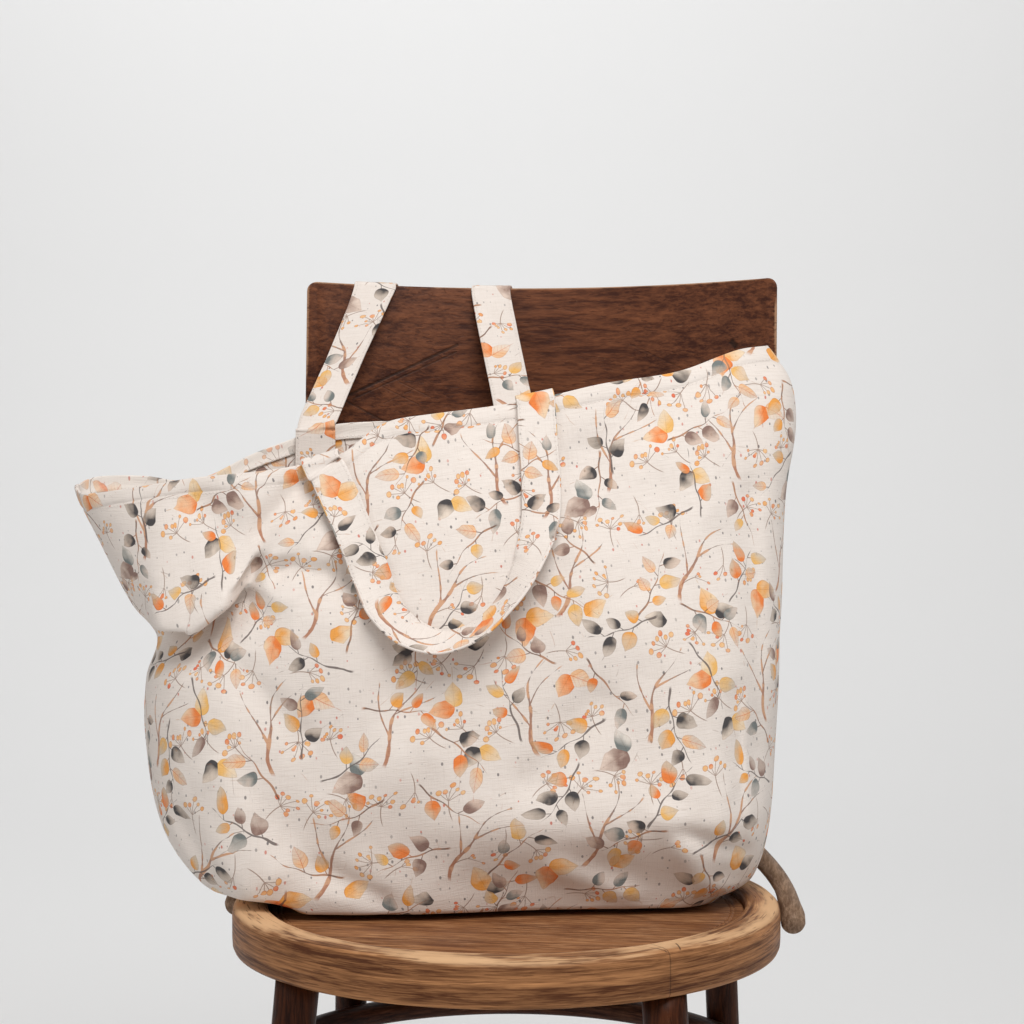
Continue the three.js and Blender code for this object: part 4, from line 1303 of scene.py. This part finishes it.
behind_rows = []
BEHIND_MIDDLE, BEHIND_HALF = -91, 48
BEHIND_LOOP = ((-0.94, 0.45, 14), (-0.62, 0.88, 52), (0, 1.1, 90), (0.62, 0.88, 128), (0.94, 0.45, 166))
for share, drop, lean in BEHIND_LOOP:
    x = BEHIND_MIDDLE + share * BEHIND_HALF
    slope = (rest_y(x + 1) - rest_y(x)) * math.cos(math.radians(lean))
    place = from_chair(x, rest_y(x) + REST_THICKNESS + STRAP_THICKNESS / 2 + 5.4, rest_top(x) - drop * 30)
    behind_rows.append((place, from_chair(*width_from(lean, 0, slope))))
back_way = sewn_end(1, -155.0, 1) + over_backrest(-140.0, 1) + behind_rows
back_way += over_backrest(-45.0, -1)[::-1] + sewn_end(1, 6.0, -1)[::-1]
sew_strap("back_handle_strap", "handle_back", back_way, 32, 280, 13)

# Floor, light and camera: a pale seamless ground, one large soft light from the upper right and a
# weaker one from the left, and a camera a little below the middle of the backrest.
GROUND_LEVEL = 2.6
GROUND_BEND = 1.5
ground_mesh = bmesh.new()
bmesh.ops.create_grid(ground_mesh, x_segments=1, y_segments=40, size=1)
for v in ground_mesh.verts:
    reach = (v.co.y + 1) / 2 * 12 - 4
    past = max(0.0, reach - GROUND_LEVEL)
    turn = min(past / GROUND_BEND, math.pi / 2)
    rise = GROUND_BEND * (1 - math.cos(turn)) + max(0.0, past - GROUND_BEND * math.pi / 2)
    v.co = (v.co.x * 9, min(reach, GROUND_LEVEL) + GROUND_BEND * math.sin(turn), rise)
ground_data = bpy.data.meshes.new("ground")
ground_mesh.to_mesh(ground_data)
ground_mesh.free()
ground = bpy.data.objects.new("ground", ground_data)
bpy.context.scene.collection.objects.link(ground)
for face in ground_data.polygons:
    face.use_smooth = True
ground_paint = bpy.data.materials.new("pale ground")
ground_paint.use_nodes = True
fill(ground_paint.node_tree.nodes["Principled BSDF"], {"Base Color": (0.82, 0.82, 0.82), "Roughness": 0.9})
ground_data.materials.append(ground_paint)

world = bpy.data.worlds.new("soft room")
world.use_nodes = True
fill(world.node_tree.nodes["Background"], {"Color": (1.0, 0.98, 0.965), "Strength": 0.4})
bpy.context.scene.world = world


def soft_light(name, place, aim, size, power, colour):
    light = bpy.data.lights.new(name, "AREA")
    light.shape = "DISK"
    light.size = size
    light.energy = power
    light.color = colour
    lamp = bpy.data.objects.new(name, light)
    bpy.context.scene.collection.objects.link(lamp)
    lamp.location = place
    lamp.rotation_euler = (Vector(aim) - Vector(place)).to_track_quat("-Z", "Y").to_euler()


soft_light("window", (0.52, -1.16, 2.32), (0.03, 0.0, 0.74), 1.25, 34, (1.0, 0.992, 0.98))
soft_light("fill", (-1.9, -1.9, 1.7), (0.05, 0.0, 0.65), 1.8, 7, (1.0, 0.97, 0.94))
soft_light("backdrop lamp", (-0.95, 0.9, 3.8), (-0.65, 4.2, 3.1), 3.3, 95, (0.985, 0.995, 1.0))

scene = bpy.context.scene
scene.view_settings.view_transform = "Standard"
view = bpy.data.cameras.new("photograph")
PICTURE_PIXELS = 1024
FOCUS_PIXELS = 2182
view.sensor_width = 36
view.lens = FOCUS_PIXELS / PICTURE_PIXELS * view.sensor_width
view.clip_end = 60
camera = bpy.data.objects.new("photograph", view)
scene.collection.objects.link(camera)
yaw, pitch, roll = math.radians(-7.96), math.radians(-1.91), math.radians(0.09)
ahead = Vector((math.sin(yaw) * math.cos(pitch), math.cos(yaw) * math.cos(pitch), math.sin(pitch)))
camera.location = SEAT + Vector((0.227, -1.597, 0.34))
camera.rotation_mode = "QUATERNION"
camera.rotation_quaternion = ahead.to_track_quat("-Z", "Y") @ Quaternion((0, 0, 1), roll)
scene.camera = camera
